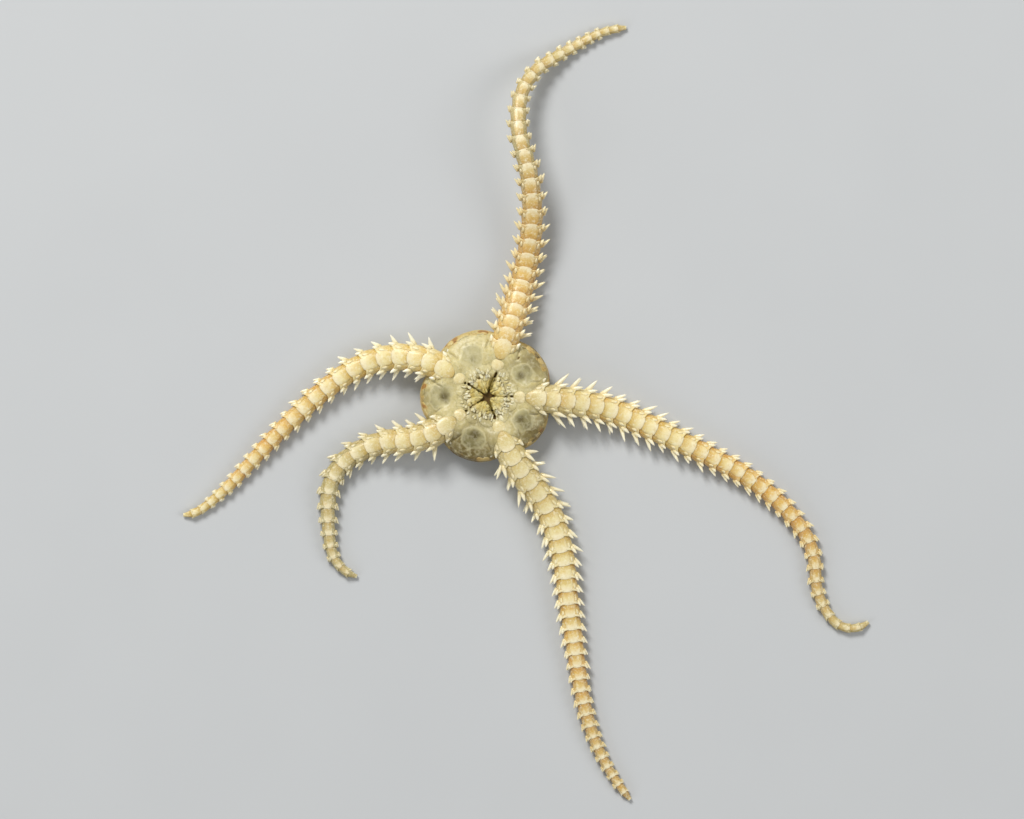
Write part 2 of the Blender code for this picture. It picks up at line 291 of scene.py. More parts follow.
def paint(piece, tones, painted):
    """Gives each point of a piece its tones, which the finish reads."""
    for tone, column in zip(tones, zip(*painted)):
        piece.data.attributes.new(tone, "FLOAT", "POINT").data.foreach_set("value", column)


def joined(name, pattern, layings, tones=("flare", "warmth", "grey", "tint", "mark")):
    """Copies of a pattern in one mesh. Each laying moves and paints the points of its copy."""
    copies = []
    for lay in layings:
        copy = pattern.copy()
        copy.data = pattern.data.copy()
        bpy.context.scene.collection.objects.link(copy)
        painted = []
        for vertex in copy.data.vertices:
            vertex.co, *values = lay(vertex.co.copy())
            painted.append(values)
        paint(copy, tones, painted)
        copies.append(copy)
    bpy.ops.object.select_all(action="DESELECT")
    for copy in copies:
        copy.select_set(True)
    bpy.context.view_layer.objects.active = copies[0]
    if len(copies) > 1:
        bpy.ops.object.join()
    copies[0].name = name
    copies[0].data.name = name
    return copies[0]


def dress(piece, slot, finish, *nodes):
    """Gives a piece its finish and its place in the frame, and hides the solids it stands for."""
    piece.data.materials.clear()
    piece.data.materials.append(finish)
    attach(piece, "root")
    if nodes:
        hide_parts(*nodes)


class Reading:
    """A value or a colour at each point of a surface, from one socket of a finish's nodes."""

    def __init__(self, tree, socket=None):
        self.tree = tree
        self.socket = socket

    def add(self, kind, settings, sockets, out=0):
        node = self.tree.nodes.new("ShaderNode" + kind)
        for setting, value in settings.items():
            setattr(node, setting, value)
        for place, value in sockets.items():
            if isinstance(value, Reading):
                self.tree.links.new(value.socket, node.inputs[place])
            else:
                node.inputs[place].default_value = value
        return Reading(self.tree, node.outputs[out])

    def math(self, operation, first, second):
        return self.add("Math", {"operation": operation}, {0: first, 1: second})

    def __add__(self, other):
        return self.math("ADD", self, other)

    def __radd__(self, other):
        return self.math("ADD", other, self)

    def __sub__(self, other):
        return self.math("SUBTRACT", self, other)

    def __rsub__(self, other):
        return self.math("SUBTRACT", other, self)

    def __mul__(self, other):
        return self.math("MULTIPLY", self, other)

    def between(self, low, high):
        """0 at the low value, 1 at the high one, eased between them."""
        settings = {"interpolation_type": "SMOOTHSTEP"}
        return self.add("MapRange", settings, {"Value": self, 1: low, 2: high})

    def mix(self, first, second):
        """The first colour where this is 0 and the second where it is 1."""
        return self.add("Mix", {"data_type": "RGBA"}, {0: self, 6: first, 7: second}, out=2)

    def tone(self, name):
        return self.add("Attribute", {"attribute_name": name}, {}, out=2)

    def place(self):
        return self.add("TexCoord", {}, {}, out=3)

    def cloud(self, size, detail=2.0, offset=0.0):
        """Soft noise with blotches of about this size."""
        moved = self.add("Mapping", {}, {"Vector": self.place(), "Location": (offset,) * 3})
        sockets = {"Vector": moved, "Scale": 1 / size, "Detail": detail}
        return self.add("TexNoise", {}, sockets)

    def veins(self, size, width):
        """1 on the threads of a crooked net, 0 in its meshes."""
        sockets = {"Vector": self.place(), "Scale": 1 / size, "Detail": 2.0}
        wander = self.add("TexNoise", {}, sockets, out=1)
        sockets = {0: wander, 1: (size * 1.3,) * 3, 2: self.place()}
        bent = self.add("VectorMath", {"operation": "MULTIPLY_ADD"}, sockets)
        sockets = {"Vector": bent, "Scale": 1 / size}
        cells = self.add("TexVoronoi", {"feature": "DISTANCE_TO_EDGE"}, sockets)
        return 1 - cells.between(0.0, width)

    def from_middle(self):
        """The place seen from above, and its distance from the middle of the disc."""
        flat = self.add("VectorMath", {"operation": "MULTIPLY"}, {0: self.place(), 1: (1, 1, 0)})
        return flat, self.add("VectorMath", {"operation": "LENGTH"}, {0: flat}, out=1)

    def near_mouth(self):
        """1 round the jaws, 0 at the mouth and from the shields outwards."""
        _, out = self.from_middle()
        return out.between(0.9 * MM, 1.2 * MM) * (1 - out.between(1.5 * MM, 2.0 * MM))

    def streaks(self, turns, length):
        """Noise drawn out along the lines that run to the mouth."""
        flat, out = self.from_middle()
        unit = self.add("VectorMath", {"operation": "NORMALIZE"}, {0: flat})
        spread = self.add("VectorMath", {"operation": "SCALE"}, {0: unit, "Scale": turns})
        rise = self.add("CombineXYZ", {}, {2: out * (1 / length)})
        place = self.add("VectorMath", {"operation": "ADD"}, {0: spread, 1: rise})
        return self.add("TexNoise", {}, {"Vector": place, "Scale": 1.0, "Detail": 2.0})

    def pits(self, size):
        """Distance to the middle of the nearest of many small cells."""
        sockets = {"Vector": self.place(), "Scale": 1 / size, "Randomness": 0.9}
        return self.add("TexVoronoi", {"feature": "SMOOTH_F1"}, sockets)


def pigment(red, green, blue):
    """A colour from its screen values, 0 to 255."""
    return (*((value / 255) ** 2.2 for value in (red, green, blue)), 1.0)


def begin_finish(name, softness, gloss):
    """A chalky, translucent finish: softness is how far light sinks in, gloss the wet film."""
    finish = bpy.data.materials.new(name)
    finish.use_nodes = True
    shader = finish.node_tree.nodes["Principled BSDF"]
    shader.inputs["Subsurface Weight"].default_value = softness
    shader.inputs["Subsurface Radius"].default_value = (1.0, 0.94, 0.84)
    shader.inputs["Subsurface Scale"].default_value = 0.2 * MM
    shader.inputs["IOR"].default_value = 1.5
    shader.inputs["Coat Weight"].default_value = gloss
    shader.inputs["Coat Roughness"].default_value = 0.18
    return finish, shader, Reading(finish.node_tree)


def end_finish(shader, colour, roughness, relief, depth):
    """Links what varies: colour, roughness and a relief of this depth."""
    tree = shader.id_data
    tree.links.new(colour.socket, shader.inputs["Base Color"])
    tree.links.new(roughness.socket, shader.inputs["Roughness"])
    bumped = colour.add("Bump", {}, {"Height": relief, "Distance": depth, "Strength": 0.6})
    tree.links.new(bumped.socket, shader.inputs["Normal"])


CREAM = pigment(236, 219, 157)
TAN = pigment(227, 181, 84)
GOLD = pigment(205, 169, 76)
RUST = pigment(200, 139, 46)
CHALK = pigment(252, 246, 216)
IVORY = pigment(242, 228, 186)
STONE = pigment(170, 156, 104)
# A brown, partly the necks' own colour and partly painted shade under the lips
UMBER_AND_SHADE = pigment(160, 114, 42)
WHITE = pigment(248, 238, 200)


def plate_finish(name, recess, paleness, edge, softness):
    """Calcite plates: golden to rust in the recess, cream on the body, chalky at the edge. The
    recess tone is partly the plates' own gold and partly painted shade where a plate sinks under
    the lip before it, and the chalky edge is partly painted light on the lip. Recess and edge are
    the ranges of flare over which the next tone comes. Where the mark is below 0 the plates are
    brown, partly their own brown and partly painted shade under the lip, and white where it is
    above, partly chalk and partly painted light on the lip."""
    finish, shader, start = begin_finish(name, softness, 0.25)
    flare = start.tone("flare")
    mottle = start.cloud(0.5 * MM, 3.0)
    grain = start.cloud(0.09 * MM, 2.0)
    patch = start.cloud(0.9 * MM, 1.0, offset=3.0)
    warm = start.tone("warmth") + (mottle - 0.5) * 0.7 + (start.tone("tint") - 0.5) * 0.3
    warm = warm.between(0.0, 1.0)
    # The recess tone, deep, is partly the plates' own gold and partly painted shade where a plate
    # sinks under the lip before it
    deep = warm.mix(GOLD, RUST)
    full = warm.mix(CREAM, TAN)
    reach = flare + (patch - 0.5) * 0.5
    colour = reach.between(*recess).mix(deep, full)
    colour = (start.tone("grey") * 0.75).mix(colour, STONE)
    # Ivory towards the edge: partly the lips' own chalk, partly painted light where the thick
    # translucent lip glows
    colour = ((flare + (mottle - 0.5) * 0.3).between(*edge) * paleness).mix(colour, IVORY)
    mark = start.tone("mark") + (mottle - 0.5) * 0.4
    # Brown where the mark is below 0: partly the necks' own brown, partly painted shade under the
    # lip before
    colour = ((0 - mark).between(0.15, 0.75) * 0.9).mix(colour, UMBER_AND_SHADE)
    # White where the mark is above 0: partly chalk, partly painted light on the lip
    colour = (mark.between(0.2, 0.9) * 0.7).mix(colour, WHITE)
    fleck = start.cloud(0.17 * MM, 2.0, offset=7.0)
    colour = (fleck.between(0.52, 0.72) * 0.4).mix(colour, CHALK)
    colour = ((1 - fleck).between(0.54, 0.72) * 0.3).mix(colour, deep)
    colour = (grain.between(0.4, 0.7) * 0.2).mix(colour, CHALK)
    relief = start.pits(0.07 * MM) + grain * 0.6
    end_finish(shader, colour, 0.42 + grain * 0.25, relief, 0.012 * MM)
    return finish


# A cup runs from its hidden inner end over the neck and the flare to the lip, and back inside:
# scale of the section, place between the segment's two joints.
CUP_SIDES = 32
CUP = (
    (0.3, -0.16), (0.68, -0.14), (0.77, 0.0), (0.79, 0.14), (0.815, 0.3), (0.85, 0.47),
    (0.9, 0.63), (0.96, 0.78), (1.02, 0.9), (1.06, 0.97), (1.05, 1.02), (0.99, 1.03),
    (0.88, 0.96), (0.7, 0.88), (0.3, 0.86),
)
CUP_NECK = 0.77
CUP_LIP = 1.06
CUP_REACH = (0.02, 0.15)
CUP_WAVER = 0.04

# By the disc the necks are wider than the arm's own neck by this much, and the lips narrower
ROOT_NECK = 0.08
ROOT_LIP = 0.05
YOUNG_SCALE = 0.8

# On the mouth side and the back the cup is nearly straight and shorter: its neck there, its share
# of flare, and how far its lip falls back
MIDDLE_NECK = 0.92
MIDDLE_FLARE = 0.2
MIDDLE_FALL = (0.18, 0.06)

# The outer wall lies beyond this scale. The hollow begins at this place and within this scale.
CUP_WALL = 0.6
CUP_HOLLOW = (0.8, 0.93)
CUP_THICKNESS = 0.2
CUP_WIDEST = 1.2
LAST_CLOSING = 0.6

# How far the golden recess, partly painted shade under the lip before, reaches outwards: in the
# middle and at the sides, at the disc's edge and on the outer arm
RECESS_AROUND = (0.5, 1.0)
RECESS_REACH = (0.5, 1.05)
MIDDLE_TONE = 0.8

# Where a change begins and over what span: the lip's drawing out, the brown of the necks, towards
# the sides and outwards, and the white of the lips. The brown is partly painted shade under the lip
# before, and the white partly painted light on the lip.
LIP_BEGINS = (0.4, 0.5)
BROWN_BEGINS = (0.1, 0.35)
BROWN_ENDS = (0.2, 0.28)
WHITE_BEGINS = (0.7, 0.2)

cup = turned("cup", CUP_SIDES, CUP)


def cup_laying(arm, number, chance):
    """Lays a cup between two joints of an arm, its lips drawn out at the sides."""
    start, end = arm.joints[number], arm.joints[number + 1]
    opened = grown((start + end) / 2)
    outer = arm.slender(start)
    lip = CUP_LIP - ROOT_LIP * (1 - outer)
    pinch = (lip - arm.neck - ROOT_NECK * (1 - outer)) / (CUP_LIP - CUP_NECK)
    swell = chance.uniform(-CUP_WAVER, CUP_WAVER)
    tint = chance.random()
    last = number == len(arm.joints) - 2

    def lay(point):
        around = math.atan2(point.x, point.y)
        scale = math.hypot(point.x, point.y)
        beside = math.sin(around) ** 2
        inside = point.z > CUP_HOLLOW[0] and scale < CUP_HOLLOW[1]
        if scale > CUP_WALL:
            rise = scale - CUP_NECK
            middle = MIDDLE_NECK + rise * MIDDLE_FLARE - CUP_THICKNESS * inside
            side = lip - (CUP_LIP - scale) * pinch + swell * point.z
            scale = blend((middle, side), beside)
            scale = min(scale, blend((YOUNG_SCALE, CUP_WIDEST), opened))
        if last:
            scale *= 1 - LAST_CLOSING * smooth_step(point.z)
        outwards = ramp(point.z, *LIP_BEGINS)
        horn = blend(CUP_REACH, outer) * opened * beside**2
        reach = point.z + outwards * (horn - blend(MIDDLE_FALL, outer) * (1 - beside) ** 2)
        along = blend((start, end), reach)
        # A low flare gives the recess tone, partly painted shade where the neck sinks into the lip
        # before
        recess = blend(RECESS_AROUND, beside) * blend(RECESS_REACH, outer)
        flare = 1 - (1 - min(max(point.z, 0.0), 1.0)) * min(recess, 1.0)
        flare *= blend((MIDDLE_TONE, 1.0), beside)
        # Brown at the sides of the neck and all over the hidden inside: partly the necks' own
        # brown, partly painted shade under the lip before
        brown = ramp(beside, *BROWN_BEGINS) * (1 - ramp(point.z, *BROWN_ENDS))
        mark = ramp(point.z, *WHITE_BEGINS) - brown
        if inside:
            flare, mark = 0.0, -1.0
        tones = (flare, *arm.tones(along), tint, mark * arm.contrast * outer)
        return arm.surface(min(along, arm.length), math.degrees(around), scale), *tones

    return lay


side_plate_finish = plate_finish("side plates", (0.28, 1.05), 0.6, (0.65, 1.12), 0.3)

for arm in arms:
    chance = random.Random(arm.name + " side plates")
    layings = [cup_laying(arm, number, chance) for number in range(1, len(arm.joints) - 1)]
    side_plates = joined(arm.name + "_side_plates", cup, layings)
    solids = [f"{arm.name}_{length}" for length in LENGTHS.get(arm.name, USUAL_LENGTHS)]
    dress(side_plates, "arm_plates", side_plate_finish, *solids)
bpy.data.objects.remove(cup)


# Mouth-side plates of the arms. One fan-shaped plate of calcite lies between the two side plates
# of each segment, domed and thin, and its round outer edge overlaps the next plate like a scale.
FAN_SIDES = 20
FAN = ((0.4, 0.9), (0.75, 0.66), (0.94, 0.3), (1.0, -0.1), (0.85, -0.7))
FAN_SPAN = (34.0, 27.0)
FAN_REACH = (-0.06, (1.12, 1.06))
YOUNG_REACH = (0.06, 1.14)
FAN_LIFT = (0.96, (0.995, 0.985))
FAN_DEPTH = 0.018
FAN_NARROWING = 0.12
YOUNG_NARROWING = -0.3
FAN_SQUARENESS = (0.1, 0.72)
FAN_CURL = 0.03
# The mouth-side plates take the recess tone at their inner end, partly painted shade under the rim
# of the plate before, and grow paler towards their own rim
FAN_TONES = (0.14, 0.0)
FAN_BAND = (0.75, 1.12)
FAN_WHITE = (0.6, 0.25)
FAN_DULLNESS = 0.55

# The first plates are wider, for the side plates there lie deep in the disc
FIRST_SPAN = 50.0
YOUNG_FLARE = 0.68
YOUNG_LEVEL = 2.01 * MM
YOUNG_DOME = 0.13 * MM

fan = turned("fan", FAN_SIDES, FAN)


def fan_laying(arm, number, chance, mouth_side=True):
    """Lays a fan over a segment's middle, on the mouth side or on the back. The first one, by the
    mouth, is a low round dome in the skin."""
    start, end = arm.joints[number], arm.joints[number + 1]
    share = arm.share(start)
    young = (1 - grown((start + end) / 2)) * mouth_side
    wide = blend((blend(FAN_SPAN, share), FIRST_SPAN), young)
    wide *= 1 + chance.uniform(-0.06, 0.06)
    outer = arm.slender(start)
    square = blend(FAN_SQUARENESS, outer) * (1 - young)
    narrowing = blend((FAN_NARROWING, YOUNG_NARROWING), young)
    reaches = FAN_REACH[0], blend(FAN_REACH[1], outer)
    inner, rim = (blend(pair, young) for pair in zip(reaches, YOUNG_REACH))
    skew = chance.uniform(-1.5, 1.5)
    sunk = chance.uniform(0.0, 0.012)
    tint = chance.random()

    def lay(point):
        flat = point.to_2d()
        flat *= 1 + square * (flat.length / max(abs(flat.x), abs(flat.y), 0.001) - 1)
        outwards = (flat.y + 1) / 2
        along = blend((start, end), blend((inner, rim), outwards))
        around = skew + flat.x * wide * (1 - narrowing * (1 - outwards))
        lift = blend((FAN_LIFT[0], blend(FAN_LIFT[1], outer)), outwards)
        lift += FAN_DEPTH * point.z - FAN_CURL * flat.x**2 - sunk
        if not mouth_side:
            around = 180 + around
        flare = blend(FAN_TONES, outer) + blend(FAN_BAND, outer) * outwards
        flare = blend((flare, YOUNG_FLARE), young)
        # The white towards the rim is partly chalk and partly painted light on the lip
        mark = ramp(outwards, *FAN_WHITE) * arm.contrast * outer
        place = arm.surface(min(along, arm.length), around, lift)
        domed = YOUNG_LEVEL + YOUNG_DOME * (min(point.z, 0.5) - flat.length_squared)
        place.z = blend((place.z, domed), young**2)
        warmth, grey = arm.tones(along)
        return place, flare, warmth, grey * FAN_DULLNESS, tint, mark

    return lay


fan_finish = plate_finish("mouth-side plates", (0.05, 0.62), 0.85, (0.5, 0.95), 0.12)

for arm in arms:
    chance = random.Random(arm.name + " mouth-side plates")
    numbers = range(len(arm.joints) - 2)
    layings = [fan_laying(arm, number, chance) for number in numbers]
    dress(joined(arm.name + "_mouth_side_plates", fan, layings), "arm_plates", fan_finish)


# Back plates of the arms. The side that lies on the floor has a like row of fan-shaped plates of
# calcite. They begin at the edge of the disc and are flatter, as the arm is on that side.
for arm in arms:
    chance = random.Random(arm.name + " back plates")
    numbers = range(3, len(arm.joints) - 2)
    layings = [fan_laying(arm, number, chance, mouth_side=False) for number in numbers]
    dress(joined(arm.name + "_back_plates", fan, layings), "arm_plates", fan_finish)
bpy.data.objects.remove(fan)


# Arm spines. Three glassy spines of calcite stand on the outer edge of each side plate. Each turns
# on a small knob and tapers to a blunt point; they are long and erect near the disc, and short
# and leaning outwards near the tip.
SPINE_SIDES = 8
SPINE = ((0.4, -0.08), (0.54, 0.05), (0.46, 0.27), (0.35, 0.56), (0.2, 0.84), (0.04, 0.99))
SPINE_LENGTH = (0.95 * MM, 0.22 * MM)
SPINE_SHORTENING = 0.72
SPINE_THICKNESS = (0.3 * MM, 0.19 * MM)
SPINE_FLATNESS = 0.7
SPINE_CURVE = 0.08
SPINE_WAVER = (13.0, 6.0)
SPINE_SPREAD = 0.22
SPINE_YOUNG = 0.45
SPINE_SUNK = 0.5
SPINE_LEAST_LEVEL = 0.02 * MM

# Rows from the mouth side to the back: place around the section, rise, lean from the arm's line
# at the disc and on the outer arm, share of the full length, how far before the lip. Towards the
# tip the spines fold against the arm.
SPINE_ROWS = (
    (58.0, 26.0, (26.0, 40.0), 0.66, 0.06),
    (80.0, 12.0, (60.0, 44.0), 1.0, 0.22),
    (104.0, -8.0, (74.0, 44.0), 0.8, 0.17),
)
OUTER_SETBACK = 0.7
SPINE_FOLD = 0.5
SPINES_BEGIN = 2.9 * MM
SPINES_FULL = 4.3 * MM

spine = turned("spine", SPINE_SIDES, SPINE)


def spine_laying(arm, number, side, row, chance):
    """Lays a spine on the outer edge of a side plate."""
    around, rise, leans, length_share, setback = row
    end, start = arm.joints[number + 1], arm.joints[number]
    outer = min(arm.share(end) * 2, 1.0)
    along = end - setback * blend((1.0, OUTER_SETBACK), outer) * (end - start)
    share = arm.share(along)
    waver = blend(SPINE_WAVER, outer)
    lean = blend(leans, outer) + chance.uniform(-waver, waver)
    lean = math.radians(lean * (1 - SPINE_FOLD * share**1.5))
    rise = math.radians(rise + chance.uniform(-waver, waver))
    length = blend(SPINE_LENGTH, share**SPINE_SHORTENING) * length_share * arm.spines
    length *= blend((SPINE_YOUNG, 1.0), ramp(along, SPINES_BEGIN, SPINES_FULL - SPINES_BEGIN))
    length *= chance.uniform(1 - SPINE_SPREAD, 1 + SPINE_SPREAD)
    thick = blend(SPINE_THICKNESS, share) * chance.uniform(0.9, 1.1)
    out = arm.left(along) * side
    ahead = arm.ahead(along)
    aim = ahead * math.cos(lean) + out * (math.sin(lean) * math.cos(rise))
    aim.z = math.sin(lean) * math.sin(rise)
    foot = arm.surface(along, side * around, 1.0) - aim * SPINE_SUNK * thick
    foot.z = max(foot.z, SPINE_LEAST_LEVEL + thick / 2)
    aim.z = max(aim.z, (SPINE_LEAST_LEVEL - foot.z) / length)
    aim.normalize()
    flat = aim.cross(Vector((0, 0, 1))).normalized()
    deep = aim.cross(flat)
    tint = chance.random()
    tones = (*arm.tones(along), tint, 0.0)

    def lay(point):
        bend = ahead * (SPINE_CURVE * length * max(point.z, 0.0) ** 2)
        across = flat * point.x * thick + deep * point.y * thick * SPINE_FLATNESS
        return foot + aim * point.z * length + across + bend, point.z, *tones

    return lay


def spine_finish():
    """Glassy calcite, clear towards the point and chalky at the knob."""
    finish, shader, start = begin_finish("spines", 0.5, 0.5)
    height = start.tone("flare")
    warm = start.tone("warmth")
    grain = start.cloud(0.06 * MM, 2.0)
    streak = start.cloud(0.2 * MM, 2.0)
    root = warm.mix(pigment(240, 224, 174), pigment(230, 196, 130))
    glass = warm.mix(pigment(248, 241, 214), pigment(244, 226, 180))
    colour = (height + (streak - 0.5) * 0.5).between(0.0, 0.55).mix(root, glass)
    colour = (start.tone("grey") * 0.3).mix(colour, STONE)
    end_finish(shader, colour, 0.28 + grain * 0.25, grain + streak, 0.008 * MM)
    return finish


glass_finish = spine_finish()

for arm in arms:
    chance = random.Random(arm.name + " spines")
    layings = [
        spine_laying(arm, number, side, row, chance)
        for number in range(len(arm.joints) - 2)
        if SPINES_BEGIN < arm.joints[number + 1] < arm.length - arm.bare
        for side in (-1, 1)
        for row in SPINE_ROWS
    ]
    dress(joined(arm.name + "_spines", spine, layings), "arm_plates", glass_finish)
bpy.data.objects.remove(spine)


# Tube-foot scales. Where a tube foot leaves the arm, on each side of a mouth-side plate, a small
# oval scale covers its pore. They show on the inner half of the arm.
SCALE_SIDES = 10
SCALE = ((0.4, 0.8), (0.8, 0.55), (1.0, 0.0), (0.7, -0.6))
FOOT_SCALE_SIZE = (0.13 * MM, 0.2 * MM)
FOOT_SCALE_AROUND = 39.0
FOOT_SCALE_PLACE = 0.62
FOOT_SCALE_LIFT = 0.95
FOOT_SCALES_END = 0.45

scale = turned("scale", SCALE_SIDES, SCALE)


def foot_scale_laying(arm, number, side, chance):
    end, start = arm.joints[number + 1], arm.joints[number]
    along = blend((start, end), FOOT_SCALE_PLACE)
    size = 1 - 0.5 * arm.share(along)
    around = FOOT_SCALE_AROUND * side
    tilt = chance.uniform(-0.2, 0.2)
    tint = chance.random()
    width = arm.width(along)

    def lay(point):
        across = (point.x + tilt * point.y) * FOOT_SCALE_SIZE[0] * size / (width / 2)
        turn = around + math.degrees(across)
        place = along + point.y * FOOT_SCALE_SIZE[1] * size
        lift = FOOT_SCALE_LIFT + 0.04 * point.y + 0.05 * point.z
        flare = 0.75 + 0.25 * point.y
        return arm.surface(place, turn, lift), flare, *arm.tones(place), tint, 0.0

    return lay


for arm in arms:
    chance = random.Random(arm.name + " tube-foot scales")
    layings = [
        foot_scale_laying(arm, number, side, chance)
        for number in range(1, len(arm.joints) - 2)
        if arm.share(arm.joints[number]) < FOOT_SCALES_END
        for side in (-1, 1)
    ]
    dress(joined(arm.name + "_tube_foot_scales", scale, layings), "arm_plates", fan_finish)


# Disc skin. The body is a soft cushion in a chalky skin, hollow under the jaws and drawn in where
# the arms leave. Dark pits lie where the jaw slits end, and faint slits beside the arms open into
# breathing pouches; the slits' grooves and the throat are painted darker, as painted shade. Between
# each two arms a clear oral shield lets the olive gut show through.
DISC_TOP = 1.95 * MM
MOUTH_EDGE = 1.1 * MM
DISC_SIDES = 120
DISC_PROFILE = [
    (out * MM, level * MM)
    for out, level in (
        (0.12, 1.5), (0.5, 1.52), (0.95, 1.54), (1.06, 1.58), (1.12, 1.72), (1.2, 1.86),
        (1.36, 1.92), (1.52, 1.94), (1.7, 1.95), (1.9, 1.95), (2.1, 1.945), (2.3, 1.935),
        (2.5, 1.92), (2.7, 1.9), (2.9, 1.875), (3.1, 1.84), (3.3, 1.79), (3.5, 1.73),
        (3.68, 1.64), (3.82, 1.54), (3.92, 1.4), (3.98, 1.2), (3.98, 1.0), (3.88, 0.72),
        (3.6, 0.46), (3.1, 0.22), (2.5, 0.09), (1.8, 0.035), (1.0, 0.025), (0.4, 0.025),
    )
]
NOTCH_DEPTH = 0.07
NOTCH_SPREAD = 30.0
SLIT_OFF = 0.98 * MM
SLIT_PLACE = (2.55 * MM, 3.2 * MM)
SLIT_WIDTH = 0.06 * MM
SLIT_DEPTH = 0.1 * MM
# How dark the slits' grooves are painted: painted shade
SLIT_TONE = 0.45
BANK_HEIGHT = 0.22 * MM
BANK_SPREAD = 0.32 * MM
BANK_FOOT = 0.4
BANK_BEGINS = (1.8 * MM, 0.8 * MM)
BANK_ENDS = (2.7 * MM, 0.7 * MM)

# The upper side begins at this level, and the skin is even below the second one. Ripples are the
# scale and the height of the skin's soft waves.
UPPER_LEVEL = 1.3 * MM
EVEN_BELOW = 0.1 * MM
RIPPLES = ((900, 0.035 * MM), (2600, 0.016 * MM))
RIM_RIPPLE = (900, 0.03 * MM)

# The throat is painted darker the deeper it lies, as painted shade, within this distance and below
# this level
THROAT_RADIUS = 1.25 * MM
THROAT_LEVEL = (1.62 * MM, 0.25 * MM)

# Pits: bearing, in millimetres the distance, half the width, half the length outwards and the
# depth, and the tone
PITS = [
    (bearing, *(size * MM for size in sizes), tone)
    for bearing, *sizes, tone in (
        (67.0, 1.34, 0.09, 0.2, 0.3, 1.0), (77.0, 0.47, 0.04, 0.12, 0.1, 0.9),
        (60.0, 0.62, 0.04, 0.09, 0.1, 0.8), (64.0, 1.0, 0.05, 0.13, 0.12, 0.9),
        (147.0, 1.28, 0.09, 0.1, 0.25, 1.0), (149.5, 1.5, 0.08, 0.08, 0.2, 0.9),
        (152.0, 0.57, 0.06, 0.07, 0.12, 1.0), (150.5, 0.93, 0.03, 0.16, 0.08, 0.8),
        (131.0, 0.98, 0.06, 0.05, 0.04, 0.5), (111.0, 1.19, 0.05, 0.05, 0.04, 0.45),
        (216.4, 0.68, 0.04, 0.07, 0.1, 0.9), (204.5, 1.01, 0.06, 0.06, 0.1, 0.8),
        (212.6, 1.0, 0.04, 0.06, 0.1, 0.8), (216.0, 1.56, 0.08, 0.11, 0.2, 0.75),
        (-70.0, 1.36, 0.08, 0.16, 0.3, 1.0), (-90.0, 0.9, 0.08, 0.06, 0.08, 0.95),
        (-79.0, 0.89, 0.09, 0.04, 0.06, 0.85), (-69.7, 0.95, 0.1, 0.06, 0.1, 1.0),
        (-58.0, 0.97, 0.1, 0.045, 0.06, 0.85), (-5.0, 0.67, 0.05, 0.04, 0.06, 0.7),
        (-16.0, 1.03, 0.05, 0.08, 0.03, 0.35), (-1.5, 1.5, 0.08, 0.14, 0.2, 0.85),
        (9.0, 1.05, 0.06, 0.06, 0.1, 0.7), (50.0, 2.95, 0.06, 0.11, 0.1, 1.0),
        (6.0, 3.2, 0.08, 0.07, 0.03, 0.5), (38.0, 3.32, 0.06, 0.08, 0.02, 0.4),
        (112.0, 3.3, 0.07, 0.07, 0.02, 0.4), (105.0, 3.2, 0.06, 0.06, 0.02, 0.35),
        (177.5, 3.2, 0.08, 0.06, 0.02, 0.35), (186.0, 3.35, 0.07, 0.06, 0.02, 0.45),
        (163.0, 2.75, 0.08, 0.05, 0.02, 0.4), (257.0, 3.35, 0.07, 0.07, 0.02, 0.35),
        (320.0, 3.35, 0.09, 0.07, 0.02, 0.35),
    )
]

# Rust-coloured spots on the rim: bearing, spread in degrees, strength
RIM_SPOTS = (
    (44.0, 4.0, 1.1), (36.0, 7.0, 0.5), (22.5, 4.0, 1.3), (17.0, 3.0, 0.7), (91.5, 3.0, 1.0),
    (97.0, 3.0, 1.1), (119.5, 3.5, 1.1), (127.5, 4.0, 1.0), (170.0, 3.5, 1.4), (191.0, 3.5, 1.2),
    (180.0, 8.0, 0.3), (243.0, 9.0, 0.3), (262.0, 7.0, 0.3), (318.0, 8.0, 0.3), (331.0, 5.0, 0.35),
)

# Rust on the rim: its share all round, where it begins, the nearer the more ragged the pattern
# is, over what span, and from which level
RUST_ALL_ROUND = 0.3
RUST_BEGINS = (3.7 * MM, 3.56 * MM)
RUST_SPAN = 0.24 * MM
RUST_LEVEL = (0.85 * MM, 0.55 * MM)

# How olive the skin is between the arms: bearing of the field's middle, share. The share grows
# outwards, so the skin darkens towards the rim: partly its own olive, partly painted shade on the
# rim.
FIELD_TONES = ((34.5, 0.6), (109.5, 0.24), (182.0, 0.4), (253.0, 0.92), (324.0, 0.68))
FIELD_SPREAD = 40
OLIVE_AND_RIM_SHADE = (0.75, 1.45)
OLIVE_AND_RIM_SHADE_BEGINS = (2.2 * MM, 1.5 * MM)

# Oral shields: bearing, distance, radius, how dark the core is
SHIELDS = (
    (30.6, 2.53 * MM, 0.74 * MM, 0.7),
    (110.6, 2.6 * MM, 0.78 * MM, 0.35),
    (180.6, 2.74 * MM, 0.86 * MM, 0.75),
    (252.2, 2.63 * MM, 0.78 * MM, 0.85),
    (325.8, 2.61 * MM, 0.7 * MM, 0.75),
)
SHIELD_RISE = 0.035 * MM
SHIELD_WANDER = 0.22

# The core lies nearer to the mouth by this share of the radius, and spreads over this one
CORE_INSET = 0.25
CORE_SPREAD = 0.42


def turn_between(first, second):
    """The angle from one bearing to another, between -180 and 180."""
    return (second - first + 180) % 360 - 180


def bearing_of(point):
    return math.degrees(math.atan2(point.y, point.x))


def off_arms(bearing):
    """The angle between a bearing and the nearest arm."""
    return min(abs(turn_between(arm.course[0], bearing)) for arm in arms)


def notched(out, bearing):
    """The share of a point's distance that is left when the skin is drawn in beside the arms."""
    outwards = max((out - MOUTH_EDGE) / (DISC_RADIUS - MOUTH_EDGE), 0.0)
    return 1 - NOTCH_DEPTH * (1 - smooth_step(off_arms(bearing) / NOTCH_SPREAD)) * outwards


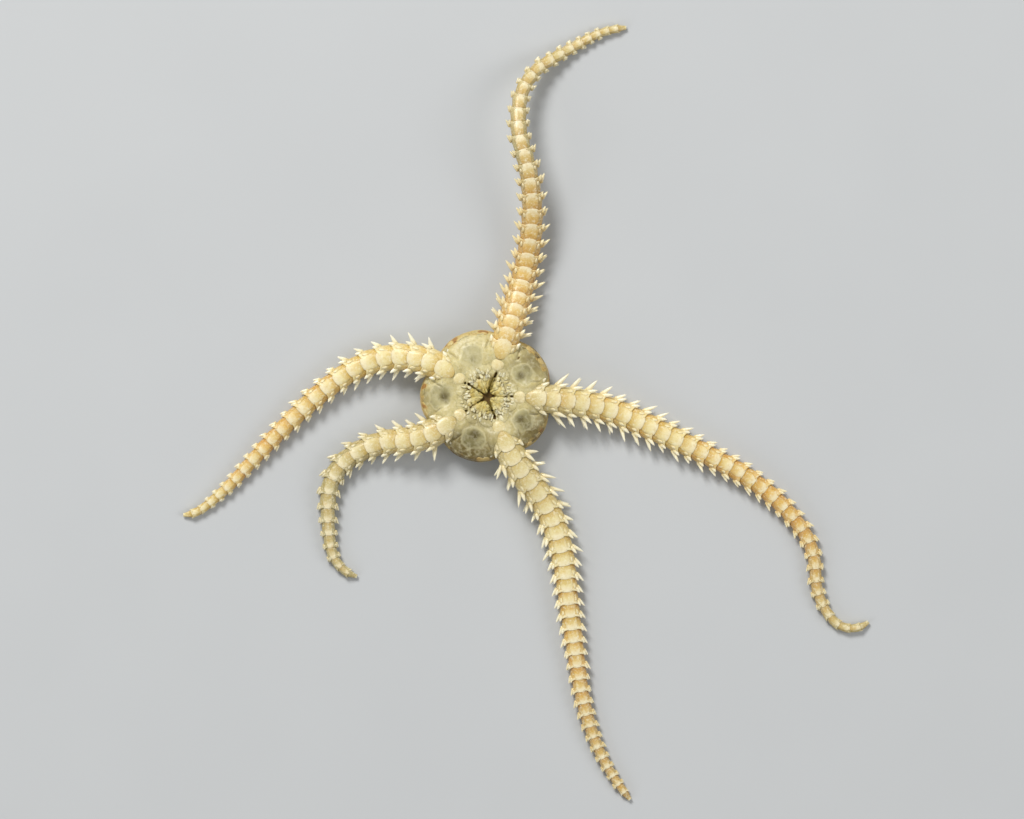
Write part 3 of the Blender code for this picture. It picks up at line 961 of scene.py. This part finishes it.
def slit_nearness(point):
    """1 in the middle of a breathing slit, 0 beyond its lips."""
    if not SLIT_PLACE[0] < point.to_2d().length < SLIT_PLACE[1] * 1.1:
        return 0.0
    nearest = 0.0
    middle, half = sum(SLIT_PLACE) / 2, (SLIT_PLACE[1] - SLIT_PLACE[0]) / 2
    for arm in arms:
        off, ahead = arm.offset(point)
        lens = max(1 - ((ahead - middle) / half) ** 2, 0.0)
        nearest = max(nearest, math.exp(-(((off - SLIT_OFF) / SLIT_WIDTH) ** 2)) * lens**0.5)
    return nearest


def bank(point):
    """How much the skin climbs where it meets the side of an arm."""
    out = point.to_2d().length
    shown = ramp(out, *BANK_BEGINS) * (1 - ramp(out, *BANK_ENDS))
    offs = []
    for arm in arms:
        off, ahead = arm.offset(point)
        if ahead > 0:
            offs.append(off - arm.width(out) * BANK_FOOT)
    return BANK_HEIGHT * shown * math.exp(-((max(min(offs), 0.0) / BANK_SPREAD) ** 2))


def pitting(point):
    """How deep and how dark the pits make this point."""
    deep, dark = 0.0, 0.0
    out, bearing = point.to_2d().length, bearing_of(point)
    for middle, distance, wide, long, depth, tone in PITS:
        if abs(out - distance) > 2.5 * long:
            continue
        across = math.radians(turn_between(middle, bearing)) * out / wide
        away = math.hypot(across, (out - distance) / long)
        away *= 1 + 0.35 * noise.noise(point * 5000)
        inside = math.exp(-(away**4))
        deep, dark = max(deep, inside * depth), max(dark, inside * tone)
    return deep, dark


def disc_tones(point):
    """Rust and olive of the skin at a point; the olive deepens towards the rim, partly as painted
    shade.
    """
    bearing = bearing_of(point)
    out = point.to_2d().length
    ragged = smooth_step(0.5 + 1.8 * noise.noise(point * 2600))
    rust = RUST_ALL_ROUND
    for spot, spread, strength in RIM_SPOTS:
        spotted = math.exp(-((turn_between(spot, bearing) / spread) ** 2))
        rust += strength * spotted * ragged * ramp(point.z, *RUST_LEVEL)
    rust *= ramp(out, blend(RUST_BEGINS, ragged), RUST_SPAN)
    olive = sum(
        share * max(1 - abs(turn_between(middle, bearing)) / FIELD_SPREAD, 0.0) ** 0.5
        for middle, share in FIELD_TONES
    )
    return rust, olive * blend(OLIVE_AND_RIM_SHADE, ramp(out, *OLIVE_AND_RIM_SHADE_BEGINS))


def shield_tones(point):
    """Shield is 1 in an oral shield's middle and 0 at its edge; core is the gut's darkness."""
    for bearing, distance, radius, tone in SHIELDS:
        away = (point - direction(bearing) * distance).to_2d().length / radius
        if away < 1.3:
            wander = noise.noise(point * 1800) * SHIELD_WANDER
            heart = direction(bearing) * (distance - CORE_INSET * radius)
            off = (point - heart).to_2d().length
            core = math.exp(-((off / (CORE_SPREAD * radius)) ** 2)) * tone
            return max(1 - away + wander, 0.0), core
    return 0.0, 0.0


SKIN_TONES = ("dark", "rust", "olive", "shield", "core")

disc_skin = turned("disc_skin", DISC_SIDES, DISC_PROFILE)
refined(disc_skin, 2)
painted = []
for vertex in disc_skin.data.vertices:
    point = vertex.co
    out = point.to_2d().length
    point.xy *= notched(out, bearing_of(point))
    rust, olive = disc_tones(point)
    dark, shield, core = 0.0, 0.0, 0.0
    if out > MOUTH_EDGE and point.z > UPPER_LEVEL:
        slit = slit_nearness(point)
        deep, dark = pitting(point)
        shield, core = shield_tones(point)
        groove = math.exp(-(((shield - 0.06) / 0.09) ** 2)) if shield else 0.0
        ripple = sum(noise.noise(point * pace) * height for pace, height in RIPPLES)
        rise = SHIELD_RISE * (smooth_step(shield / 0.4) - 0.25 * groove)
        point.z += ripple - SLIT_DEPTH * slit - deep + rise + bank(point)
        # The slit's groove is painted darker: painted shade
        dark = max(dark, slit * SLIT_TONE)
    elif out > MOUTH_EDGE and point.z > EVEN_BELOW:
        point.z += noise.noise(point * RIM_RIPPLE[0]) * RIM_RIPPLE[1]
    # Painted shade: the throat darker the deeper it lies
    if out < THROAT_RADIUS and point.z > DISC_TOP / 2:
        dark = max(dark, 1 - ramp(point.z, *THROAT_LEVEL))
    painted.append((dark, rust, olive, shield, core))
paint(disc_skin, SKIN_TONES, painted)

MILK = pigment(204, 191, 136)
ASH = pigment(148, 139, 90)
OLIVE = pigment(110, 95, 46)
HONEY = pigment(204, 172, 98)
AMBER = pigment(150, 102, 44)
EARTH = pigment(96, 78, 42)
PITCH = pigment(104, 78, 2)
GUT = pigment(88, 76, 26)


def skin_finish(name, softness):
    """The disc's skin: milky with a crooked pale net, olive between the arms, amber at the rim."""
    finish, shader, start = begin_finish(name, softness, 0.3)
    blotch = start.cloud(0.7 * MM, 3.0)
    fine = start.cloud(0.14 * MM, 3.0)
    mottle = start.cloud(0.32 * MM, 3.0, offset=5.0)
    veins = start.veins(0.34 * MM, 0.26)
    olive = (start.tone("olive") + (blotch - 0.5) * 0.8 + (mottle - 0.5) * 0.3).between(0.1, 1.1)
    colour = olive.mix(MILK, OLIVE)
    colour = (fine.between(0.45, 0.75) * 0.45).mix(colour, ASH)
    shield = start.tone("shield") + (mottle - 0.5) * 0.4
    glass = olive.mix(pigment(182, 174, 130), pigment(122, 115, 74))
    colour = (shield.between(0.02, 0.38) * 0.8).mix(colour, glass)
    halo = shield.between(-0.02, 0.1) * (1 - shield.between(0.12, 0.32))
    colour = (halo * 0.35).mix(colour, pigment(222, 215, 172))
    colour = (start.tone("core") + (mottle - 0.5) * 0.4).between(0.05, 0.85).mix(colour, GUT)
    colour = (veins * mottle.between(0.35, 0.65) * 0.18).mix(colour, CHALK)
    pale = start.streaks(9.0, 0.35 * MM).between(0.52, 0.75) * start.near_mouth()
    colour = (pale * 0.8).mix(colour, CHALK)
    rust = start.tone("rust") + (fine - 0.5) * 0.5
    colour = (rust.between(0.05, 0.3) * 0.6).mix(colour, olive.between(0.8, 1.0).mix(HONEY, EARTH))
    colour = (rust.between(0.4, 1.1) * 0.85).mix(colour, AMBER)
    # The dark tone: the pits' darkness, and painted shade in the slits and down the throat
    colour = start.tone("dark").between(0.1, 0.95).mix(colour, PITCH)
    film = (1 - start.tone("dark").between(0.1, 0.6)) * 0.14
    finish.node_tree.links.new(film.socket, shader.inputs["Coat Weight"])
    end_finish(shader, colour, 0.42 + fine * 0.3, fine + veins * 0.4, 0.01 * MM)
    return finish


disc_finish = skin_finish("disc skin", 0.6)
dress(disc_skin, "disc_skin", disc_finish, "disc")


# Disc scales. Thin round scales of calcite overlap like roof tiles in the skin, from the rim to
# the middle of the back.
SCALE_RADIUS = 0.27 * MM
SCALE_RELIEF = 0.026 * MM
SCALE_PITCH = 0.36 * MM
SCALE_RING = 0.34 * MM
SCALES_FROM = 19

# Above this level no scale lies within this angle of an arm
BARE_LEVEL = 1.5 * MM
BARE_SPREAD = 19.0

scale_finish = skin_finish("disc scales", 0.0)
skin_surface = BVHTree.FromObject(disc_skin, bpy.context.evaluated_depsgraph_get())


def laid_on_skin(spot_of, height, tones):
    """Lays a pattern on the disc's skin, near the spots that the pattern's points are given."""

    def lay(point):
        place, normal, _, _ = skin_surface.find_nearest(spot_of(point))
        return place + normal * point.z * height, *tones(place)

    return lay


def flat_spots(centre, heading, size):
    """Spots of an even lying pattern: its y runs along the heading."""
    across = Vector((heading.y, -heading.x, 0))
    return lambda point: centre + across * point.x * size[0] + heading * point.y * size[1]


def skin_tones(shift=0.0, rusting=1.0):
    """The skin's own tones, a little more or less olive or rust-coloured."""

    def tones(place):
        rust, olive = disc_tones(place)
        return 0.0, rust * rusting, olive + shift, 0.0, 0.0

    return tones


def ring_places():
    """Distance and level of each ring of scales, from the rim to the middle of the back."""
    path = [Vector(pair) for pair in DISC_PROFILE[SCALES_FROM:]]
    gone, wanted = 0.0, 0.1 * MM
    for first, second in zip(path, path[1:]):
        span = (second - first).length
        while wanted <= gone + span:
            yield first.lerp(second, (wanted - gone) / span)
            wanted += SCALE_RING
        gone += span


def scale_layings(chance):
    for number, (out, level) in enumerate(ring_places()):
        count = max(int(2 * math.pi * out / SCALE_PITCH), 1)
        for place in range(count):
            bearing = 360 * (place + 0.5 * (number % 2) + chance.uniform(-0.2, 0.2)) / count
            if level > BARE_LEVEL and off_arms(bearing) < BARE_SPREAD:
                continue
            centre = direction(bearing) * out * notched(out, bearing)
            centre.z = level
            size = SCALE_RADIUS * chance.uniform(0.8, 1.2)
            heading = direction(bearing + chance.uniform(-12, 12))
            spots = flat_spots(centre, heading, (size, size))
            tones = skin_tones(chance.uniform(-0.25, 0.25), chance.uniform(0.4, 1.4))
            yield laid_on_skin(spots, SCALE_RELIEF, tones)


layings = list(scale_layings(random.Random("disc scales")))
disc_scales = joined("disc_scales", scale, layings, SKIN_TONES)
dress(disc_scales, "disc_skin", scale_finish)


# Radial shields. A pair of larger plates of calcite stiffens the back of the disc over the root of
# each arm. They lie in the skin as low domes.
RADIAL_SHIELD = ((0.3, 0.9), (0.6, 0.8), (0.85, 0.55), (1.0, 0.0), (0.8, -0.5))
RADIAL_SHIELD_SIZE = (0.32 * MM, 0.6 * MM)
RADIAL_SHIELD_HEIGHT = 0.07 * MM
RADIAL_SHIELD_PLACE = 3.0 * MM
RADIAL_SHIELD_LEVEL = 0.2 * MM
RADIAL_SHIELD_SPREAD = 11.0

radial_shield = turned("radial shield", 24, RADIAL_SHIELD)
layings = []
for arm in arms:
    for side in (-1, 1):
        bearing = arm.course[0] + side * RADIAL_SHIELD_SPREAD
        centre = direction(bearing) * RADIAL_SHIELD_PLACE
        centre.z = RADIAL_SHIELD_LEVEL
        spots = flat_spots(centre, direction(bearing), RADIAL_SHIELD_SIZE)
        layings.append(laid_on_skin(spots, RADIAL_SHIELD_HEIGHT, skin_tones(-0.3)))
radial_shields = joined("radial_shields", radial_shield, layings, SKIN_TONES)
dress(radial_shields, "disc_skin", scale_finish)
bpy.data.objects.remove(radial_shield)


# Jaws. Five wedges of calcite, each of two halves with a seam between them, meet round the mouth
# and leave a crooked slit on the line of each arm.

# Width of the slit on the line of each arm, and how far from the middle it closes
JAW_SLITS = {
    "arm_1": (0.4 * MM, 1.4 * MM),
    "arm_2": (0.1 * MM, 1.4 * MM),
    "arm_3": (0.08 * MM, 0.62 * MM),
    "arm_4": (0.2 * MM, 1.4 * MM),
    "arm_5": (0.08 * MM, 0.46 * MM),
}
SLIT_CLOSING = 0.12 * MM
SLIT_CROOKEDNESS = 0.12 * MM
# How dark the painted shade along the jaw slits is at most
SLIT_SHADE = 0.55

# How far each jaw's point stays from the middle, in millimetres, round to the left
JAW_POINTS = (0.14, 0.2, 0.3, 0.24, 0.26)
JAW_BLUNTNESS = 0.9
JAW_OUTER = 1.24 * MM
JAW_RAGGEDNESS = 0.16
JAW_MEETING = (0.9, 0.66)
JAW_WIDE_SLIT = 0.2 * MM
JAW_LOW = 1.23 * MM
JAW_TOP = 1.99 * MM
JAW_BOWL = 0.14 * MM
JAW_BOWL_EDGE = (0.2 * MM, 0.55 * MM)
JAW_PALE = 0.75
JAW_PALE_BEGINS = (0.75 * MM, 0.45 * MM)
JAW_RIDGES = 0.008 * MM
JAW_LUMPS = 0.08 * MM
JAW_CUTS = 11
JAW_ROUNDING = 0.2
JAW_ENDS_ROUNDING = 0.22

# Depth and width of the seam, as shares of the jaw's height and of half its width
SEAM = (0.05, 0.12)

bearings = sorted((arm.course[0] % 360, arm.name) for arm in arms)
fields = []
for (right, right_name), (left, left_name), point in zip(
    bearings, bearings[1:] + bearings[:1], JAW_POINTS
):
    half = ((left - right) % 360) / 2
    fields.append((right + half, half, JAW_SLITS[right_name], JAW_SLITS[left_name], point * MM))


def make_jaw():
    """A jaw of two halves from a cube: y runs from the outer end to the point, x from the seam."""
    bpy.ops.object.select_all(action="DESELECT")
    bpy.ops.mesh.primitive_cube_add(size=1)
    bpy.ops.object.mode_set(mode="EDIT")
    bpy.ops.transform.translate(value=(0.5, 0.5, 0.5))
    bpy.ops.mesh.subdivide(number_cuts=JAW_CUTS)
    bpy.ops.object.mode_set(mode="OBJECT")
    piece = bpy.context.object
    for vertex in piece.data.vertices:
        x, y, z = vertex.co
        edge = JAW_ROUNDING * x**3 + SEAM[0] * math.exp(-((x / SEAM[1]) ** 2))
        ends = JAW_ENDS_ROUNDING * abs(2 * y - 1) ** 5
        vertex.co = (x, y, z * (1 - edge - ends))
    refined(piece, 1)
    mirrored = piece.modifiers.new("other half", "MIRROR")
    mirrored.use_mirror_merge = False
    bpy.ops.object.modifier_apply(modifier="other half")
    bpy.ops.object.shade_smooth()
    return piece


jaw = make_jaw()


def painted_slit_shade(place):
    """How much painted shade a point gets from the jaw slit beside it."""
    out, bearing = place.to_2d().length, bearing_of(place)
    stain = 0.0
    for arm in arms:
        width, reach = JAW_SLITS[arm.name]
        off = math.radians(abs(turn_between(arm.course[0], bearing))) * out
        wide = (width * 0.45 + 0.02 * MM) * (1 + noise.noise(place * 6000))
        closed = ramp(out, reach, SLIT_CLOSING)
        stain = max(stain, math.exp(-((off / wide) ** 4)) * (1 - closed))
    return stain * SLIT_SHADE


def jaw_laying(middle, half, right_slit, left_slit, point_out):
    """Lays the jaw pattern between two slits."""

    def lay(point):
        blunt = point_out * (1 + JAW_BLUNTNESS * point.x**2)
        ragged = 1 + JAW_RAGGEDNESS * noise.noise(direction(middle + point.x * half) * 6)
        out = blend((JAW_OUTER * ragged, blunt), point.y)
        slit, reach = left_slit if point.x > 0 else right_slit
        closed = ramp(out, reach, SLIT_CLOSING)
        side = direction(middle) * math.copysign(1.0, point.x)
        crooked = noise.noise(side * 3 + Vector((0, 0, out * 6000))) * SLIT_CROOKEDNESS
        meeting = blend(JAW_MEETING, min(slit / JAW_WIDE_SLIT, 1.0))
        parted = ramp(point.z, meeting, 1 - meeting) * (1 - closed)
        room = half - math.degrees(max(slit / 2 + crooked, 0.005 * MM) / out) * parted
        bearing = middle + point.x * max(room, 6.0)
        place = direction(bearing) * out
        bowl = JAW_BOWL * (1 - ramp(out, *JAW_BOWL_EDGE))
        ridge = JAW_RIDGES * math.cos(point.x * 14) * point.z
        lump = noise.noise(place * 3600) * JAW_LUMPS * point.z
        deep, dark = pitting(place)
        height = point.z * (1 + closed * JAW_ROUNDING * abs(point.x) ** 3)
        place.z = blend((JAW_LOW, JAW_TOP - bowl), height) + ridge + lump - deep * point.z
        pale = JAW_PALE * ramp(out, *JAW_PALE_BEGINS)
        # The last tone: the pits' darkness and painted shade along the slit
        return place, point.z, pale, max(dark, painted_slit_shade(place))

    return lay


def jaw_finish():
    """Pale gold calcite with streaks that run to the mouth. It is painted darker deeper down in the
    slits and along the slit lines, as painted shade, and darker at the pits.
    """
    finish, shader, start = begin_finish("jaws", 0.6, 0.08)
    height = start.tone("height")
    pale = start.tone("pale")
    fine = start.cloud(0.1 * MM, 3.0)
    mottle = start.cloud(0.3 * MM, 2.0)
    streaks = start.streaks(12.0, 0.6 * MM)
    gold = mottle.between(0.3, 0.7).mix(pigment(190, 166, 84), pigment(210, 196, 132))
    gold = (streaks.between(0.42, 0.7) * 0.4).mix(gold, pigment(216, 204, 152))
    gold = ((1 - streaks.between(0.32, 0.46)) * 0.15).mix(gold, pigment(142, 112, 36))
    white = (fine.between(0.3, 0.7)).mix(pigment(210, 198, 146), pigment(240, 232, 198))
    colour = (pale + (mottle - 0.5) * 0.5).between(0.1, 0.9).mix(gold, white)
    # Painted shade: darker lower down on the jaws' sides, in the slits
    colour = (height + (fine - 0.5) * 0.1).between(0.66, 0.9).mix(pigment(132, 104, 22), colour)
    # Painted shade along the slits, and the pits' darkness
    stain = start.tone("stain") + (fine - 0.5) * 0.5
    colour = (stain.between(0.2, 0.6) * 0.85).mix(colour, pigment(112, 98, 34))
    colour = (stain.between(0.65, 0.95) * 0.9).mix(colour, pigment(40, 32, 8))
    end_finish(shader, colour, 0.55 + fine * 0.3, fine + streaks * 0.25, 0.008 * MM)
    return finish


JAW_TONES = ("height", "pale", "stain")

gold_finish = jaw_finish()
for number, facts in enumerate(fields, 1):
    plates = joined(f"jaw_plates_{number}", jaw, [jaw_laying(*facts)], JAW_TONES)
    dress(plates, "jaws", gold_finish, f"jaw_{number}")
bpy.data.objects.remove(jaw)


# Adoral shields. Two low wing-shaped plates lie across the outer end of each jaw, before the oral
# shield, and reach to the first plates of the arms.
WING = ((0.35, 0.92), (0.68, 0.78), (0.9, 0.45), (1.0, 0.0), (0.8, -0.6))
WING_SWEEP = (1.0, 29.0)
WING_PLACE = (1.6 * MM, 1.66 * MM)
WING_WIDTH = (0.19 * MM, 0.34 * MM)
WING_HEIGHT = 0.014 * MM
WING_WAVER = 0.08 * MM

wing = turned("wing", 20, WING)


def wing_spots(middle, side):
    """Spots of a wing that bends round the mouth: its y runs from the seam to the arm."""

    def spot(point):
        sweep = (point.y + 1) / 2
        bearing = middle + side * blend(WING_SWEEP, sweep)
        out = blend(WING_PLACE, sweep) + point.x * blend(WING_WIDTH, sweep)
        place = direction(bearing) * out
        place += Vector.Fill(3, noise.noise(place * 2500)) * WING_WAVER
        place.z = DISC_TOP
        return place

    return spot


layings = [
    laid_on_skin(wing_spots(field[0], side), WING_HEIGHT, skin_tones(0.05))
    for field in fields
    for side in (-1, 1)
]
adoral_shields = joined("adoral_shields", wing, layings, SKIN_TONES)
dress(adoral_shields, "disc_skin", scale_finish)
bpy.data.objects.remove(wing)


# Mouth papillae. Small flaps and grains of calcite fringe the jaws: two broad flaps on each side
# nearly close the slit, two narrow ones stand at the point, and white grains lie round the jaws.
LEAF = ((0.35, 0.85), (0.7, 0.62), (0.92, 0.3), (1.0, -0.1), (0.8, -0.6))
LEAF_SIDES = 12

# Flaps along a slit: in millimetres the distance, half the width, half the length and the level,
# and the paleness. The other sizes of this section are in millimetres too.
FLAPS = (
    (0.62, 0.13, 0.14, 1.93, 0.1),
    (0.9, 0.16, 0.17, 1.97, 0.3),
    (1.14, 0.12, 0.14, 1.98, 0.6),
)
FLAP_THICKNESS = 0.045
POINT_PAPILLA = (0.19, 0.075, 0.16, 1.87)
GRAINS = 52
GRAINS_OFF_SLIT = 6.0
GRAIN_PLACE = (1.16, 1.62)
GRAIN_SIZE = ((0.055, 0.11), (0.1, 0.25))
GRAIN_THICKNESS = 0.036
GRAIN_LEVEL = 1.96
LEAF_WAVER = 0.02

leaf = turned("leaf", LEAF_SIDES, LEAF)


def leaf_laying(centre, heading, up, size, pale):
    """Lays a leaf: y along the heading and z along up, which need not be square to each other."""
    up = up.normalized()
    across = heading.cross(up).normalized()
    ahead = up.cross(across)

    def lay(point):
        away = across * point.x * size[0] + ahead * point.y * size[1] + up * point.z * size[2]
        place = centre + away
        place += Vector.Fill(3, noise.noise(place * 4000)) * LEAF_WAVER * MM
        return place, 0.7 + 0.3 * point.z, pale, pitting(place)[1]

    return lay


chance = random.Random("papillae")
layings = []
for middle, half, right_slit, left_slit, point_out in fields:
    for side, (slit, _) in ((-1, right_slit), (1, left_slit)):
        line = direction(middle + side * half)
        inwards = direction(middle + side * (half - 90))
        for out, wide, long, level, pale in FLAPS:
            wide *= chance.uniform(0.85, 1.15)
            gap = slit * (0.5 + chance.uniform(-0.3, 0.15)) + wide * MM
            centre = line * (out + chance.uniform(-0.04, 0.04)) * MM + inwards * gap
            centre.z = level * MM
            up = Vector((0, 0, 1)) + inwards * chance.uniform(-0.35, 0.0)
            size = (wide * MM, long * chance.uniform(0.85, 1.15) * MM, FLAP_THICKNESS * MM)
            shade = pale + chance.uniform(-0.15, 0.25)
            heading = line + inwards * chance.uniform(-0.3, 0.3)
            layings.append(leaf_laying(centre, heading, up, size, shade))
        inset, wide, long, level = POINT_PAPILLA
        beside = direction(middle + side * 90)
        centre = direction(middle) * (point_out + inset * MM) + beside * (wide * 1.05) * MM
        centre.z = level * MM
        up = Vector((0, 0, 1)) - direction(middle) * 0.25
        size = (wide * MM, long * chance.uniform(0.9, 1.1) * MM, FLAP_THICKNESS * MM)
        layings.append(leaf_laying(centre, direction(middle), up, size, 0.1))
for number in range(GRAINS):
    bearing = 360 * (number + chance.uniform(-0.4, 0.4)) / GRAINS
    if off_arms(bearing) < GRAINS_OFF_SLIT:
        continue
    out = chance.uniform(*GRAIN_PLACE)
    centre = direction(bearing) * out * MM
    centre.z = (GRAIN_LEVEL + 0.03 * (out < 1.3)) * MM
    heading = direction(bearing + chance.uniform(-30, 30))
    up = Vector((chance.uniform(-0.3, 0.3), chance.uniform(-0.3, 0.3), 1))
    wide, long = (chance.uniform(*ends) * MM for ends in GRAIN_SIZE)
    shade = chance.uniform(0.45, 1.2)
    if pitting(centre)[1] < 0.4:
        size = (wide, long, GRAIN_THICKNESS * MM)
        layings.append(leaf_laying(centre, heading, up, size, shade))
papillae = joined("mouth_papillae", leaf, layings, JAW_TONES)
dress(papillae, "jaws", gold_finish)
bpy.data.objects.remove(leaf)
bpy.data.objects.remove(scale)


# Floor, light and camera. The star lies on a plain pale floor under a large soft lamp from the top
# of the picture and a weaker one from the side. The camera looks straight down.
FLOOR_SIDE = 1.2
FLOOR_TONE = (187, 190, 193)

bpy.ops.object.select_all(action="DESELECT")
bpy.ops.mesh.primitive_plane_add(size=FLOOR_SIDE)
floor = bpy.context.object
floor.name = "floor"
floor_finish = bpy.data.materials.new("floor")
floor_finish.use_nodes = True
floor_start = Reading(floor_finish.node_tree)
shade = floor_start.cloud(9 * MM, 2.0).mix(
    pigment(*FLOOR_TONE), pigment(*(tone + 4 for tone in FLOOR_TONE))
)
floor_shader = floor_finish.node_tree.nodes["Principled BSDF"]
floor_shader.inputs["Roughness"].default_value = 0.7
floor_finish.node_tree.links.new(shade.socket, floor_shader.inputs["Base Color"])
floor.data.materials.append(floor_finish)

# Name, where it stands, side, power in watts, colour
LAMPS = (
    ("key lamp", (-0.12, 0.26, 0.3), 0.14, 1.48, (1.0, 0.985, 0.95)),
    ("side lamp", (0.3, -0.05, 0.24), 0.2, 0.4, (1.0, 0.99, 0.97)),
    ("low lamp", (-0.28, -0.2, 0.2), 0.2, 0.25, (1.0, 1.0, 1.0)),
)
for name, spot, side, power, colour in LAMPS:
    lamp = bpy.data.lights.new(name, "AREA")
    lamp.size = side
    lamp.energy = power
    lamp.color = colour
    stand = bpy.data.objects.new(name, lamp)
    stand.location = spot
    stand.rotation_mode = "QUATERNION"
    stand.rotation_quaternion = (-Vector(spot)).to_track_quat("-Z", "Y")
    bpy.context.scene.collection.objects.link(stand)

world = bpy.data.worlds.new("studio")
world.use_nodes = True
backdrop = world.node_tree.nodes["Background"]
backdrop.inputs["Color"].default_value = (0.97, 0.97, 0.95, 1.0)
backdrop.inputs["Strength"].default_value = 0.3
bpy.context.scene.world = world
bpy.context.scene.view_settings.view_transform = "Standard"

# The disc's middle is at this pixel of the 1024 by 819 photo, where a pixel spans PIXEL.
PHOTO_SIZE = (1024, 819)
DISC_PIXEL = (487, 396)
PIXEL = 0.06 * MM
CAMERA_HEIGHT = 0.3
SENSOR = 36.0

camera = bpy.data.cameras.new("camera")
camera.type = "PERSP"
camera.sensor_width = SENSOR
camera.lens = SENSOR * CAMERA_HEIGHT / (PHOTO_SIZE[0] * PIXEL)
camera.clip_start = 0.01
camera_stand = bpy.data.objects.new("camera", camera)
camera_stand.location = (
    (PHOTO_SIZE[0] / 2 - DISC_PIXEL[0]) * PIXEL,
    (DISC_PIXEL[1] - PHOTO_SIZE[1] / 2) * PIXEL,
    CAMERA_HEIGHT,
)
bpy.context.scene.collection.objects.link(camera_stand)
bpy.context.scene.camera = camera_stand
